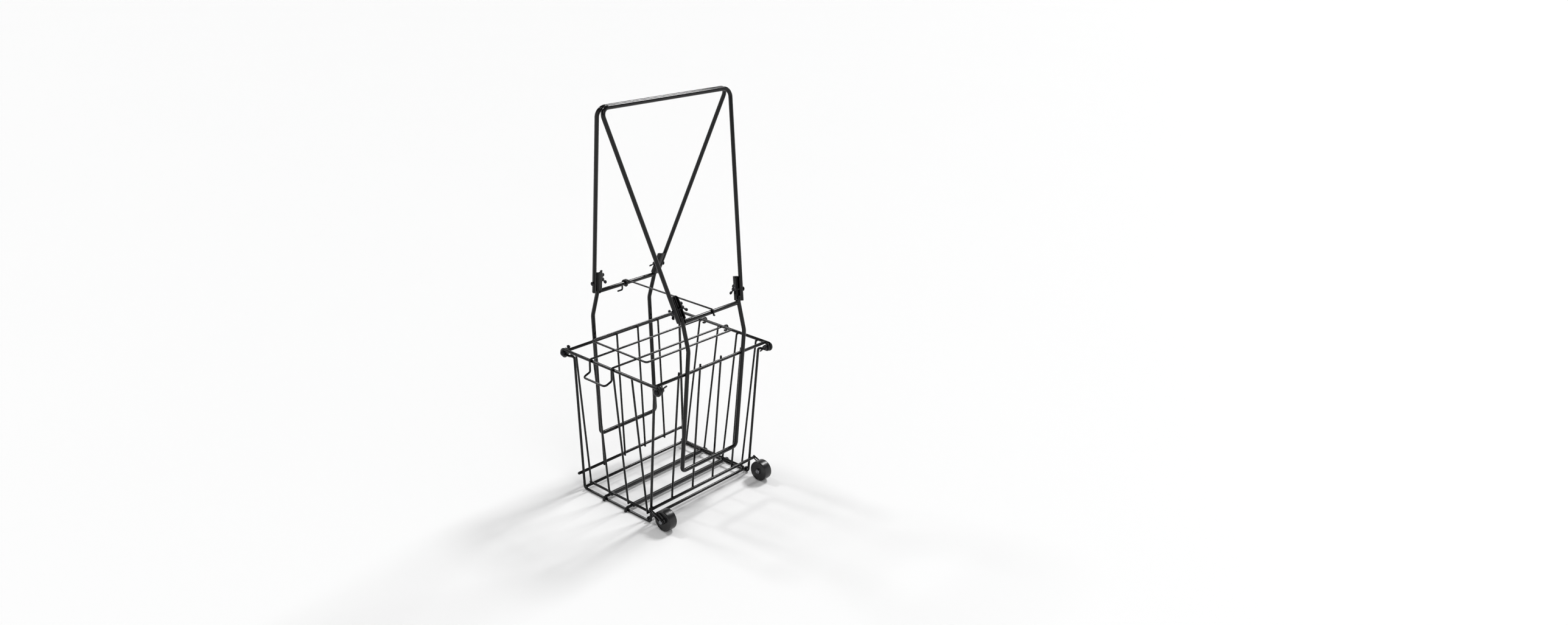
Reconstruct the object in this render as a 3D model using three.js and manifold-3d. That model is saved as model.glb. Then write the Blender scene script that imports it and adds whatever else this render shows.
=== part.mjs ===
// Ball cart: a steel wire ball basket on two wheels, with two hinged wire frames.
// Swung up, the frames meet as a handle. Swung down, they are legs under the basket.
// Millimetres, +Z up. X runs along the wheels' axis, from the latch end (-X) to the hinge end (+X).
// The wheels are on the -Y side. The floor under the cart is z = 0.
// The origin is moved at the end to the middle of the cart's own box, on the floor.

import * as THREE from 'three';
import { mergeVertices } from 'three/addons/utils/BufferGeometryUtils.js';
import Module from 'manifold-3d';

const wasm = await Module();
wasm.setup();

// Clearances
const touchGap = 0.3;
const runningGap = 0.4;
const cutOverrun = 4;

// Wire and rod radii
const endFrameWireRadius = 2.5;
const rimRodRadius = 3;
const sideWireRadius = 2;
const endWireRadius = 2;
const crossRodRadius = 2.5;
const floorRodRadius = 3;
const floorBarRadius = 3;
const railRadius = 3;
const bracketWireRadius = 1.6;
const frameTubeRadius = 4;
const tieRodRadius = 1.7;
const lidWireRadius = 2;

// Round sections and bends, counts of sides and steps
const fineSides = 12;
const wireSides = 8;
const bendSteps = 5;
const smallBendSteps = 4;
const eyeSteps = 9;
const coilStepsPerTurn = 14;
const domeSteps = 4;
const rodEndSteps = 2;
const wingTipSteps = 4;

// Basket
const footHalfLength = 138;
const footHalfWidth = 94.5;
const footBendRadius = 6;
const legTopHalfLength = 141;
const legTopHalfWidth = 110;
const legTopBendRadius = 5;
const eyeLeadBendRadius = 8;
const eyeLeadLength = 7;
const rimHalfLength = 151;
const rimHalfWidth = 120;
const rimHeight = 294;
const railHeight = 34.5;
const railOverhang = 10;
const crossRodHalfLength = 128;
const crossRodOverhang = 2.5;
const floorRodOverhang = 4;
const floorBarHalfPitch = 31;
const floorBarStubLift = 0.5;

// Upright wires
const sideWireCount = 4;
const sideWirePitch = 56;
const sideWireTip = 3;
const sideWireFoot = 3;
const endWireCount = 4;
const endWireFootPitch = 53.5;
const endWireTopPitch = 51.5;
const endWireLean = 22;
const endWireTopDrop = 1;

// Roller sleeves on the floor bars
const sleeveWall = 1.4;
const sleeveEndGap = 0.5;

// Corner bolts of the basket
const cornerBoltHalfWidth = 128;
const cornerBoltRadius = 3;
const cornerBoltHeadRadius = 5.4;
const cornerBoltHeadHeight = 4;
const rimEyeSweep = THREE.MathUtils.degToRad(255);
const endFrameEyeSweep = THREE.MathUtils.degToRad(195);

// Wheels, their bolts and hairpin brackets
const wheelRadius = 20.6;
const wheelWidth = 18.7;
const wheelHalfTrack = 134.5;
const wheelReach = 132;
const wheelShoulder = 1;
const wheelLipWidth = 1.8;
const wheelDishDepth = 1.6;
const wheelHubRadius = 7;
const wheelHubProud = 0.9;
const wheelSides = 32;
const axleRadius = 2.5;
const axleHeadRadius = 4.6;
const axleHeadHeight = 3;
const bracketRailSpread = 3.8;
const bracketPastRail = 3;

// Hinged frames
const hingeBarHeight = 92.7;
const hingeBarHalfWidth = 115;
const frameHalfLength = 75;
const hingeBarBendRadius = 9;
const frameBendRadius = 25;
const frameBendRise = 49.358;
const legTopRise = 12;
const channelFootRise = 6;
const channelTopRise = 50;
const channelWidth = 13;
const channelInnerDepth = 5;
const channelOuterDepth = 3;
const channelCornerRadius = 3.5;
const channelWall = 1.5;
const clampBoltRise = 25;
const clampBoltRadius = 2;
const clampBoltHeadRadius = 4.4;
const clampBoltHeadHeight = 2.6;
const handleFootRise = 2.5;
const handleHeight = 777;
const handleHalfLength = 161;
const handleBendRadius = 14;

// Wing nuts: height of the hub, reach and thickness of the wings
const cornerNut = {
  bore: cornerBoltRadius,
  hubRadius: 5.4,
  hubHeight: 5,
  reach: 12,
  wingHeight: 10.5,
  thickness: 2,
};
const clampNut = {
  bore: clampBoltRadius,
  hubRadius: 4.2,
  hubHeight: 4.4,
  reach: 11,
  wingHeight: 9.5,
  thickness: 1.8,
};
const clampNutTurn = THREE.MathUtils.degToRad(60);
const headChamferShare = 1 / 3;
const hubTaperShare = 0.82;
const wingRootShare = 0.5;
const wingFootShare = 0.3;
const wingTipShare = 0.32;

// Tie rod between the two frames
const tieHookDrop = 7;
const tieCoilTurns = 1.25;
const tieCoilPitch = 4;
const tieTailDrop = 11;
const tieTailLength = 13;
const tieTailBendRadius = 3;
const tieRodOffset = 1;

// Lid
const lidWireHalfPitch = 30;
const lidCentre = 17;
const lidHookSweep = THREE.MathUtils.degToRad(230);
const lidLatchReach = 173;
const lidLatchTop = 274;
const lidLatchBottom = 268;
const lidLatchBendRadius = 4;
const lidFingerBendRadius = 6;
const lidFrameLatchEnd = -97;
const lidFrameHingeEnd = 136;
const lidFrameWheelSide = -43;
const lidFramePlainSide = 110;
const lidFrameBendRadius = 5;
const lidFrameSink = 1.4;

// Colours and surfaces
const powderCoat = { color: 0x111113, roughness: 0.28, metalness: 0.35 };
const blackSteel = { color: 0x17171a, roughness: 0.3, metalness: 0.6 };
const wheelPlastic = { color: 0x161616, roughness: 0.5, metalness: 0 };
const sleevePlastic = { color: 0x101010, roughness: 0.45, metalness: 0 };

// Heights and places that follow from the sizes above
const footHeight = endFrameWireRadius * Math.cos(Math.PI / wireSides);
const floorRodHeight = footHeight + endFrameWireRadius + touchGap + floorRodRadius;
const floorRodHalfWidth = footHalfWidth - footBendRadius;
const crossRodHeight = floorRodHeight + floorRodRadius + touchGap + crossRodRadius;
const endFrameEyeRadius = cornerBoltRadius + runningGap + endFrameWireRadius + touchGap / 2;
const rimEyeRadius = cornerBoltRadius + runningGap + rimRodRadius + touchGap / 2;
const cornerBoltHeight = rimHeight - rimEyeRadius;
const endFrameEyeHalfLength = rimHalfLength - rimRodRadius - touchGap - endFrameWireRadius;
const legTopHeight = cornerBoltHeight - endFrameEyeRadius;
const legShareAtRail = (railHeight - footHeight) / (legTopHeight - footHeight);
const legHalfWidthAtRail = footHalfWidth + (legTopHalfWidth - footHalfWidth) * legShareAtRail;
const railHalfWidth = legHalfWidthAtRail + endFrameWireRadius + touchGap + railRadius;
const railHalfLength = footHalfLength + railOverhang;
const channelInnerFace = frameTubeRadius - channelWidth;

// A path whose rings lie at chosen stations. The section keeps its sides square to one direction.
class StationPath extends THREE.Curve {
  constructor(stations, sideways) {
    super();
    this.stations = stations;
    this.sideways = sideways;
  }

  getPoint(t, target = new THREE.Vector3()) {
    const place = t * (this.stations.length - 1);
    const index = Math.min(Math.floor(place), this.stations.length - 2);
    return target.lerpVectors(this.stations[index], this.stations[index + 1], place - index);
  }

  getPointAt(u, target) {
    return this.getPoint(u, target);
  }

  tangentAtStation(index) {
    const last = this.stations.length - 1;
    const tangent = new THREE.Vector3();
    if (index > 0) {
      tangent.add(this.stations[index].clone().sub(this.stations[index - 1]).normalize());
    }
    if (index < last) {
      tangent.add(this.stations[index + 1].clone().sub(this.stations[index]).normalize());
    }
    return tangent.normalize();
  }

  getTangentAt(u, target = new THREE.Vector3()) {
    return target.copy(this.tangentAtStation(Math.round(u * (this.stations.length - 1))));
  }

  computeFrenetFrames(segments, closed) {
    if (!this.sideways) {
      return super.computeFrenetFrames(segments, closed);
    }
    const tangents = this.stations.map((_, index) => this.tangentAtStation(index));
    const binormals = tangents.map((tangent) => tangent.clone().cross(this.sideways).normalize());
    const normals = tangents.map((tangent, index) => binormals[index].clone().cross(tangent).normalize());
    return { tangents, normals, binormals };
  }
}

const alongX = new THREE.Vector3(1, 0, 0);
const alongY = new THREE.Vector3(0, 1, 0);
const alongZ = new THREE.Vector3(0, 0, 1);

function point(x, y, z) {
  return new THREE.Vector3(x, y, z);
}

// Round section with flats facing the section's own axes.
function roundSection(radius, sides) {
  const corners = Array.from({ length: sides }, (_, index) => {
    const angle = ((index + 0.5) / sides) * 2 * Math.PI;
    return new THREE.Vector2(radius * Math.cos(angle), radius * Math.sin(angle));
  });
  return new THREE.Shape(corners);
}

function bar(stations, radius, sides, sideways) {
  const path = new StationPath(stations, sideways);
  const settings = { steps: stations.length - 1, extrudePath: path, bevelEnabled: false };
  return new THREE.ExtrudeGeometry(roundSection(radius, sides), settings);
}

// Stations along a line of corners, each corner rounded to its bend radius.
function bentLine(corners, bendRadii, steps = bendSteps) {
  const stations = [corners[0].clone()];
  for (let index = 1; index < corners.length - 1; index += 1) {
    const before = corners[index].clone().sub(corners[index - 1]).normalize();
    const after = corners[index + 1].clone().sub(corners[index]).normalize();
    const turn = before.angleTo(after);
    const radius = bendRadii[index - 1];
    const inward = after.clone().addScaledVector(before, -before.dot(after)).normalize();
    const start = corners[index].clone().addScaledVector(before, -radius * Math.tan(turn / 2));
    const centre = start.clone().addScaledVector(inward, radius);
    const arc = arcStations(centre, inward.clone().negate(), before, radius, turn, steps);
    stations.push(start, ...arc);
  }
  stations.push(corners[corners.length - 1].clone());
  return stations;
}

// Stations round a centre, after the start point itself. Each full turn also moves by one pitch.
function arcStations(centre, outward, forward, radius, sweep, steps, pitch = point(0, 0, 0)) {
  return Array.from({ length: steps }, (_, index) => {
    const angle = (sweep * (index + 1)) / steps;
    return centre
      .clone()
      .addScaledVector(outward, radius * Math.cos(angle))
      .addScaledVector(forward, radius * Math.sin(angle))
      .addScaledVector(pitch, angle / (2 * Math.PI));
  });
}

// A half wire and its mirror image as one line of stations. The mirror swaps one sign.
function mirroredLine(half, axis) {
  const other = half.map((station) => station.clone().setComponent(axis, -station.getComponent(axis)));
  const meets = Math.abs(half[0].getComponent(axis)) < Number.EPSILON;
  return [...other.reverse(), ...(meets ? half.slice(1) : half)];
}

// A straight rod with domed ends.
function domedRod(from, to, radius, sides) {
  const length = from.distanceTo(to) - 2 * radius;
  const geometry = new THREE.CapsuleGeometry(radius, length, rodEndSteps, sides);
  const turn = new THREE.Quaternion().setFromUnitVectors(alongY, to.clone().sub(from).normalize());
  geometry.applyQuaternion(turn);
  geometry.translate(...from.clone().add(to).multiplyScalar(0.5).toArray());
  return geometry;
}

// Turned shape: radii and heights of a closed profile, spun about +Z.
function turned(profile, sides) {
  const points = profile.map(([radius, height]) => new THREE.Vector2(radius, height));
  const geometry = new THREE.LatheGeometry(points, sides);
  geometry.rotateX(Math.PI / 2);
  return geometry;
}

function toSolid(geometry) {
  const plain = geometry.clone();
  plain.deleteAttribute('normal');
  plain.deleteAttribute('uv');
  const merged = mergeVertices(plain);
  const vertProperties = new Float32Array(merged.attributes.position.array);
  const triVerts = new Uint32Array(merged.index.array);
  return new wasm.Manifold(new wasm.Mesh({ numProp: 3, vertProperties, triVerts }));
}

function toGeometry(solid) {
  const mesh = solid.getMesh();
  const places = new Float32Array(mesh.vertProperties);
  const geometry = new THREE.BufferGeometry();
  geometry.setAttribute('position', new THREE.BufferAttribute(places, mesh.numProp));
  geometry.setIndex(new THREE.BufferAttribute(new Uint32Array(mesh.triVerts), 1));
  geometry.computeVertexNormals();
  return geometry;
}

function joined(geometries) {
  return toGeometry(geometries.map(toSolid).reduce((sum, solid) => sum.add(solid)));
}

function cut(geometry, tools) {
  return toGeometry(tools.map(toSolid).reduce((rest, tool) => rest.subtract(tool), toSolid(geometry)));
}

// A cylinder along a direction, centred on a point.
function plug(centre, direction, radius, length) {
  const geometry = new THREE.CylinderGeometry(radius, radius, length, fineSides);
  geometry.applyQuaternion(new THREE.Quaternion().setFromUnitVectors(alongY, direction));
  geometry.translate(...centre.toArray());
  return geometry;
}

function part(name, geometry, finish) {
  const mesh = new THREE.Mesh(geometry, new THREE.MeshStandardMaterial(finish));
  mesh.name = name;
  return mesh;
}

// Even places about zero.
function evenPlaces(count, pitch) {
  return Array.from({ length: count }, (_, index) => (index - (count - 1) / 2) * pitch);
}

// Basket ends, drawn for the +X end.

function endFrameWire() {
  const eyeCentre = point(endFrameEyeHalfLength, cornerBoltHalfWidth, cornerBoltHeight);
  const half = bentLine(
    [
      point(footHalfLength, 0, footHeight),
      point(footHalfLength, footHalfWidth, footHeight),
      point(legTopHalfLength, legTopHalfWidth, legTopHeight),
      point(endFrameEyeHalfLength, cornerBoltHalfWidth - eyeLeadLength, legTopHeight),
      point(endFrameEyeHalfLength, cornerBoltHalfWidth, legTopHeight),
    ],
    [footBendRadius, legTopBendRadius, eyeLeadBendRadius],
    smallBendSteps,
  );
  const down = alongZ.clone().negate();
  half.push(...arcStations(eyeCentre, down, alongY, endFrameEyeRadius, endFrameEyeSweep, eyeSteps));
  return bar(mirroredLine(half, 1), endFrameWireRadius, wireSides, alongX);
}

function endRim() {
  const eyeCentre = point(rimHalfLength, cornerBoltHalfWidth, cornerBoltHeight);
  const eye = arcStations(eyeCentre, alongZ, alongY, rimEyeRadius, rimEyeSweep, eyeSteps);
  const half = [point(rimHalfLength, cornerBoltHalfWidth, rimHeight), ...eye];
  return bar(mirroredLine(half, 1), rimRodRadius, fineSides, alongX);
}

function crossRod() {
  const reach = floorRodHalfWidth + crossRodOverhang;
  const from = point(crossRodHalfLength, -reach, crossRodHeight);
  const to = point(crossRodHalfLength, reach, crossRodHeight);
  return domedRod(from, to, crossRodRadius, wireSides);
}

// The tops stand further round than the feet: seen from outside, every end wire leans the same way.
function endWire(index) {
  const footX = crossRodHalfLength + crossRodRadius + touchGap + endWireRadius;
  const footY = evenPlaces(endWireCount, endWireFootPitch)[index];
  const topX = rimHalfLength - rimRodRadius - touchGap - endWireRadius;
  const topY = evenPlaces(endWireCount, endWireTopPitch)[index] - endWireLean;
  const foot = point(footX, footY, crossRodHeight - crossRodRadius + touchGap);
  const top = point(topX, topY, rimHeight - endWireTopDrop);
  return bar([foot, top], endWireRadius, wireSides, alongX);
}

function cornerBolt() {
  const shank = rimHalfLength + rimRodRadius + touchGap;
  const nutFace = endFrameEyeHalfLength - endFrameWireRadius - touchGap;
  const inner = nutFace - cornerNut.hubHeight - touchGap;
  const dome = Array.from({ length: domeSteps + 1 }, (_, index) => {
    const angle = (index / domeSteps) * (Math.PI / 2);
    return [cornerBoltHeadRadius * Math.cos(angle), shank + cornerBoltHeadHeight * Math.sin(angle)];
  });
  dome[domeSteps][0] = 0;
  const shaft = [
    [0, inner],
    [cornerBoltRadius, inner],
    [cornerBoltRadius, shank],
  ];
  const geometry = turned([...shaft, ...dome], fineSides);
  geometry.rotateY(Math.PI / 2);
  return geometry;
}

// One wing in the plane through the nut's axis, a thin plate with a round tip.
function wing(nut) {
  const root = nut.hubRadius * wingRootShare;
  const low = nut.wingHeight * wingFootShare;
  const tip = nut.reach * wingTipShare;
  const tipCentre = new THREE.Vector2(nut.reach - tip, nut.wingHeight - tip);
  const outline = new THREE.Shape();
  outline.moveTo(root, low);
  outline.lineTo(nut.hubRadius, low);
  outline.quadraticCurveTo(nut.reach, low, nut.reach, tipCentre.y);
  outline.absarc(tipCentre.x, tipCentre.y, tip, 0, Math.PI, false);
  outline.quadraticCurveTo(nut.hubRadius, nut.hubHeight, root, nut.hubHeight);
  outline.closePath();
  const settings = { depth: nut.thickness, bevelEnabled: false, curveSegments: wingTipSteps };
  const plate = new THREE.ExtrudeGeometry(outline, settings);
  plate.translate(0, 0, -nut.thickness / 2);
  plate.rotateX(Math.PI / 2);
  return plate;
}

// Wing nut with its base at z = 0 and its wings rising along +Z.
function wingNut(nut) {
  const profile = [
    [0, 0],
    [nut.hubRadius, 0],
    [nut.hubRadius * hubTaperShare, nut.hubHeight],
    [0, nut.hubHeight],
  ];
  const hub = turned(profile, fineSides);
  const otherWing = wing(nut).rotateZ(Math.PI);
  const bore = plug(point(0, 0, 0), alongZ, nut.bore + runningGap, 2 * nut.wingHeight);
  return cut(joined([hub, wing(nut), otherWing]), [bore]);
}

function cornerWingNut(side) {
  const geometry = wingNut(cornerNut);
  const towardRim = Math.atan2(rimHeight - cornerBoltHeight, rimHalfWidth - cornerBoltHalfWidth);
  geometry.rotateZ(side > 0 ? -towardRim : Math.PI + towardRim);
  geometry.rotateY(-Math.PI / 2);
  geometry.translate(
    endFrameEyeHalfLength - endFrameWireRadius - touchGap,
    side * cornerBoltHalfWidth,
    cornerBoltHeight,
  );
  return geometry;
}

function basketEnd(name, firstCorner) {
  const end = new THREE.Group();
  end.add(part(`${name}_end_frame_wire`, endFrameWire(), powderCoat));
  end.add(part(`${name}_end_rim_rod`, endRim(), powderCoat));
  end.add(part(`${name}_end_cross_rod`, crossRod(), powderCoat));
  for (let index = 0; index < endWireCount; index += 1) {
    end.add(part(`${name}_end_wire_${index + 1}`, endWire(index), powderCoat));
  }
  [-1, 1].forEach((side, index) => {
    const bolt = part(`corner_bolt_${firstCorner + index}`, cornerBolt(), blackSteel);
    bolt.position.set(0, side * cornerBoltHalfWidth, cornerBoltHeight);
    end.add(bolt, part(`corner_wing_nut_${firstCorner + index}`, cornerWingNut(side), blackSteel));
  });
  return end;
}

// Basket sides, drawn for the +Y side.

function sideRim() {
  const reach = rimHalfLength - rimRodRadius - touchGap;
  const from = point(-reach, rimHalfWidth, rimHeight);
  const to = point(reach, rimHalfWidth, rimHeight);
  return bar([from, to], rimRodRadius, fineSides, alongZ);
}

function lowerRail() {
  const from = point(-railHalfLength, railHalfWidth, railHeight);
  const to = point(railHalfLength, railHalfWidth, railHeight);
  return domedRod(from, to, railRadius, fineSides);
}

function floorRod() {
  const reach = footHalfLength + floorRodOverhang;
  const from = point(-reach, floorRodHalfWidth, floorRodHeight);
  const to = point(reach, floorRodHalfWidth, floorRodHeight);
  return domedRod(from, to, floorRodRadius, fineSides);
}

function sideWire(index) {
  const inward = rimRodRadius + touchGap + sideWireRadius;
  const atRail = point(0, railHalfWidth - inward, railHeight);
  const atRim = point(0, rimHalfWidth - inward, rimHeight);
  const rise = atRim.clone().sub(atRail).normalize();
  const place = evenPlaces(sideWireCount, sideWirePitch)[index];
  const foot = atRail.clone().addScaledVector(rise, -sideWireFoot).setX(place);
  const top = atRim.clone().addScaledVector(rise, rimRodRadius + sideWireTip).setX(place);
  return bar([foot, top], sideWireRadius, wireSides, alongX);
}

// Hairpin of wire from the rail's end, down round the wheel bolt and back.
function hairpinBracket(end) {
  const plane = wheelHalfTrack + wheelWidth / 2 + wheelHubProud + touchGap + bracketWireRadius;
  const bolt = point(end * plane, wheelReach, wheelRadius);
  const rail = point(end * plane, railHalfWidth, railHeight);
  const along = bolt.clone().sub(rail).normalize();
  const across = alongX.clone().cross(along).normalize();
  const loopRadius = axleRadius + runningGap + bracketWireRadius;
  const start = rail.clone().addScaledVector(along, -bracketPastRail);
  const from = start.clone().addScaledVector(across, bracketRailSpread);
  const to = start.clone().addScaledVector(across, -bracketRailSpread);
  const turnStart = bolt.clone().addScaledVector(across, loopRadius);
  const turn = arcStations(bolt, across, along, loopRadius, Math.PI, bendSteps + bendSteps);
  return bar([from, turnStart, ...turn, to], bracketWireRadius, wireSides, alongX);
}

function wheelSideRail() {
  return joined([lowerRail(), hairpinBracket(-1), hairpinBracket(1)]);
}

function basketSide(name, hasWheels) {
  const side = new THREE.Group();
  side.add(part(`${name}_side_rim_rod`, sideRim(), powderCoat));
  side.add(part(`${name}_side_rail`, hasWheels ? wheelSideRail() : lowerRail(), powderCoat));
  side.add(part(`${name}_side_floor_rod`, floorRod(), powderCoat));
  for (let index = 0; index < sideWireCount; index += 1) {
    side.add(part(`${name}_side_wire_${index + 1}`, sideWire(index), powderCoat));
  }
  return side;
}

// Floor

// The bar's ends hook down over the foot rods of both ends.
function floorBar(side) {
  const reach = footHalfLength + endFrameWireRadius + touchGap + floorBarRadius;
  const height = footHeight + endFrameWireRadius + touchGap + floorBarRadius;
  const hookRadius = endFrameWireRadius + touchGap + floorBarRadius;
  const place = side * floorBarHalfPitch;
  const half = bentLine(
    [point(0, place, height), point(reach, place, height), point(reach, place, floorBarStubLift)],
    [hookRadius],
  );
  return bar(mirroredLine(half, 0), floorBarRadius, fineSides, alongY);
}

function rollerSleeve() {
  const bore = floorBarRadius + runningGap;
  const outer = bore + sleeveWall;
  const half = crossRodHalfLength - crossRodRadius - sleeveEndGap;
  const profile = [
    [bore, -half],
    [outer, -half],
    [outer, half],
    [bore, half],
    [bore, -half],
  ];
  const geometry = turned(profile, fineSides);
  geometry.rotateY(Math.PI / 2);
  return geometry;
}

function basketFloor() {
  const floor = new THREE.Group();
  const height = footHeight + endFrameWireRadius + touchGap + floorBarRadius;
  [-1, 1].forEach((side, index) => {
    const sleeve = part(`roller_sleeve_${index + 1}`, rollerSleeve(), sleevePlastic);
    sleeve.position.set(0, side * floorBarHalfPitch, height);
    floor.add(part(`floor_bar_${index + 1}`, floorBar(side), powderCoat), sleeve);
  });
  return floor;
}

// Wheels, drawn along +Z with the outer face up, then laid along X.

function wheelShape() {
  const half = wheelWidth / 2;
  const bore = axleRadius + runningGap;
  const lip = wheelRadius - wheelShoulder - wheelLipWidth;
  const face = (sign) => [
    [bore, sign * (half + wheelHubProud)],
    [wheelHubRadius, sign * (half + wheelHubProud)],
    [wheelHubRadius, sign * (half - wheelDishDepth)],
    [lip, sign * (half - wheelDishDepth)],
    [lip + wheelLipWidth / 2, sign * half],
    [wheelRadius - wheelShoulder, sign * half],
    [wheelRadius, sign * (half - wheelShoulder)],
  ];
  const profile = [...face(-1), ...face(1).reverse()];
  return turned([...profile, profile[0]], wheelSides);
}

// Bolt through the bracket and the wheel, with a cap pressed on its inner end.
function axleShape() {
  const half = wheelWidth / 2 + wheelHubProud;
  const bracketFace = half + touchGap + 2 * bracketWireRadius + touchGap;
  const capFace = -half - touchGap;
  const chamfer = axleHeadHeight * headChamferShare;
  return turned(
    [
      [0, capFace - axleHeadHeight],
      [axleHeadRadius - chamfer, capFace - axleHeadHeight],
      [axleHeadRadius, capFace - chamfer],
      [axleHeadRadius, capFace],
      [axleRadius, capFace],
      [axleRadius, bracketFace],
      [axleHeadRadius, bracketFace],
      [axleHeadRadius, bracketFace + axleHeadHeight - chamfer],
      [axleHeadRadius - chamfer, bracketFace + axleHeadHeight],
      [0, bracketFace + axleHeadHeight],
    ],
    fineSides,
  );
}

function wheelSet(name, end) {
  const set = new THREE.Group();
  set.add(part(`${name}_wheel`, wheelShape(), wheelPlastic));
  set.add(part(`${name}_wheel_bolt`, axleShape(), blackSteel));
  set.position.set(end * wheelHalfTrack, -wheelReach, wheelRadius);
  set.rotation.y = (end * Math.PI) / 2;
  return set;
}

// Hinged frames, drawn for the +Y side.

const handleHalfGap = frameTubeRadius + touchGap / 2;
const rimClearHalfWidth = rimHalfWidth + rimRodRadius + touchGap + frameTubeRadius;
const uprightSlope = (rimClearHalfWidth - hingeBarHalfWidth) / (rimHeight - hingeBarHeight);
const frameBendHeight = rimHeight + frameBendRise;
const frameBendHalfWidth = hingeBarHalfWidth + uprightSlope * (frameBendHeight - hingeBarHeight);
const lean = Math.atan2(frameBendHalfWidth - handleHalfGap, handleHeight - frameBendHeight);
const crossbarHeight = frameBendHeight + (frameBendHalfWidth - hingeBarHalfWidth) / Math.tan(lean);
const tubeOffset = 2 * frameTubeRadius + touchGap;
const leanLength = (handleHeight - crossbarHeight) / Math.cos(lean);
const flare = Math.atan2(handleHalfLength - frameHalfLength - tubeOffset, leanLength);

// Directions at a clamp: up the flared tube, outward along the clamp bolt, and square to both.
function clampAxes(end) {
  const upLean = point(0, -Math.sin(lean), Math.cos(lean));
  const sideways = alongX.clone().multiplyScalar(end);
  const up = new THREE.Vector3()
    .addScaledVector(upLean, Math.cos(flare))
    .addScaledVector(sideways, Math.sin(flare));
  const outward = new THREE.Vector3()
    .addScaledVector(sideways, Math.cos(flare))
    .addScaledVector(upLean, -Math.sin(flare));
  const across = up.clone().cross(outward).normalize();
  return { up, outward, across };
}

function clampRoot(end) {
  return point(end * frameHalfLength, hingeBarHalfWidth, crossbarHeight);
}

// Section of the clamp channel: a U of sheet whose bend points to the given side along Y.
function channelSection(side) {
  const wallLine = (inset) =>
    bentLine(
      [
        point(frameTubeRadius - inset, -channelOuterDepth, 0),
        point(frameTubeRadius - inset, channelInnerDepth - inset, 0),
        point(channelInnerFace + inset, channelInnerDepth - inset, 0),
        point(channelInnerFace + inset, -channelOuterDepth, 0),
      ],
      [channelCornerRadius - inset, channelCornerRadius - inset],
      smallBendSteps,
    );
  const corners = [...wallLine(0), ...wallLine(channelWall).reverse()];
  return new THREE.Shape(corners.map(({ x, y }) => new THREE.Vector2(x, side * y)));
}

// The channel stands round the leg's end. It is open toward the cart's outside.
function clampChannel(end) {
  const { up, outward, across } = clampAxes(end);
  const settings = { depth: channelTopRise - channelFootRise, bevelEnabled: false };
  const geometry = new THREE.ExtrudeGeometry(channelSection(-end), settings);
  geometry.applyMatrix4(new THREE.Matrix4().makeBasis(outward, across, up));
  geometry.translate(...clampRoot(end).addScaledVector(up, channelFootRise).toArray());
  return geometry;
}

function clampPoint(end, outwardPlace) {
  const { up, outward } = clampAxes(end);
  const boltCentre = clampRoot(end).addScaledVector(up, clampBoltRise);
  return boltCentre.addScaledVector(outward, outwardPlace);
}

function clampHole(end) {
  const { outward } = clampAxes(end);
  const length = 2 * (tubeOffset + frameTubeRadius + cutOverrun);
  return plug(clampPoint(end, 0), outward, clampBoltRadius + runningGap / 2, length);
}

function legFrame() {
  const half = bentLine(
    [
      point(0, hingeBarHalfWidth, hingeBarHeight),
      point(frameHalfLength, hingeBarHalfWidth, hingeBarHeight),
      point(frameHalfLength, frameBendHalfWidth, frameBendHeight),
      clampRoot(1),
    ],
    [hingeBarBendRadius, frameBendRadius],
  );
  half.push(clampRoot(1).addScaledVector(clampAxes(1).up, legTopRise));
  const tube = bar(mirroredLine(half, 0), frameTubeRadius, fineSides, null);
  return cut(joined([tube, clampChannel(1), clampChannel(-1)]), [clampHole(1), clampHole(-1)]);
}

function crossbar() {
  const reach = frameHalfLength - frameTubeRadius - touchGap;
  const from = point(-reach, hingeBarHalfWidth, crossbarHeight);
  const to = point(reach, hingeBarHalfWidth, crossbarHeight);
  return bar([from, to], frameTubeRadius, fineSides, alongZ);
}

function handleLoop() {
  const { up, outward } = clampAxes(1);
  const root = clampRoot(1).addScaledVector(outward, tubeOffset);
  const corner = root.clone().addScaledVector(up, (handleHeight - root.z) / up.z);
  const foot = root.clone().addScaledVector(up, handleFootRise);
  const half = bentLine([point(0, corner.y, corner.z), corner, foot], [handleBendRadius]);
  const tube = bar(mirroredLine(half, 0), frameTubeRadius, fineSides, null);
  return cut(tube, [clampHole(1), clampHole(-1)]);
}

// Clamp bolt along +Z: head outside the handle tube, shank through to the wing nut's end.
function clampBolt() {
  const tubeFace = tubeOffset + frameTubeRadius + touchGap;
  const nutEnd = channelInnerFace - touchGap - clampNut.hubHeight - touchGap;
  const chamfer = clampBoltHeadHeight * headChamferShare;
  return turned(
    [
      [0, nutEnd],
      [clampBoltRadius, nutEnd],
      [clampBoltRadius, tubeFace],
      [clampBoltHeadRadius, tubeFace],
      [clampBoltHeadRadius, tubeFace + clampBoltHeadHeight - chamfer],
      [clampBoltHeadRadius - chamfer, tubeFace + clampBoltHeadHeight],
      [0, tubeFace + clampBoltHeadHeight],
    ],
    fineSides,
  );
}

// Stand a shape drawn along +Z on a clamp's axis.
function onClamp(geometry, end, outwardPlace, facing) {
  const { up, outward } = clampAxes(end);
  const zAxis = outward.clone().multiplyScalar(facing);
  const yAxis = up;
  const xAxis = yAxis.clone().cross(zAxis);
  geometry.applyMatrix4(new THREE.Matrix4().makeBasis(xAxis, yAxis, zAxis));
  geometry.translate(...clampPoint(end, outwardPlace).toArray());
  return geometry;
}

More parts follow.
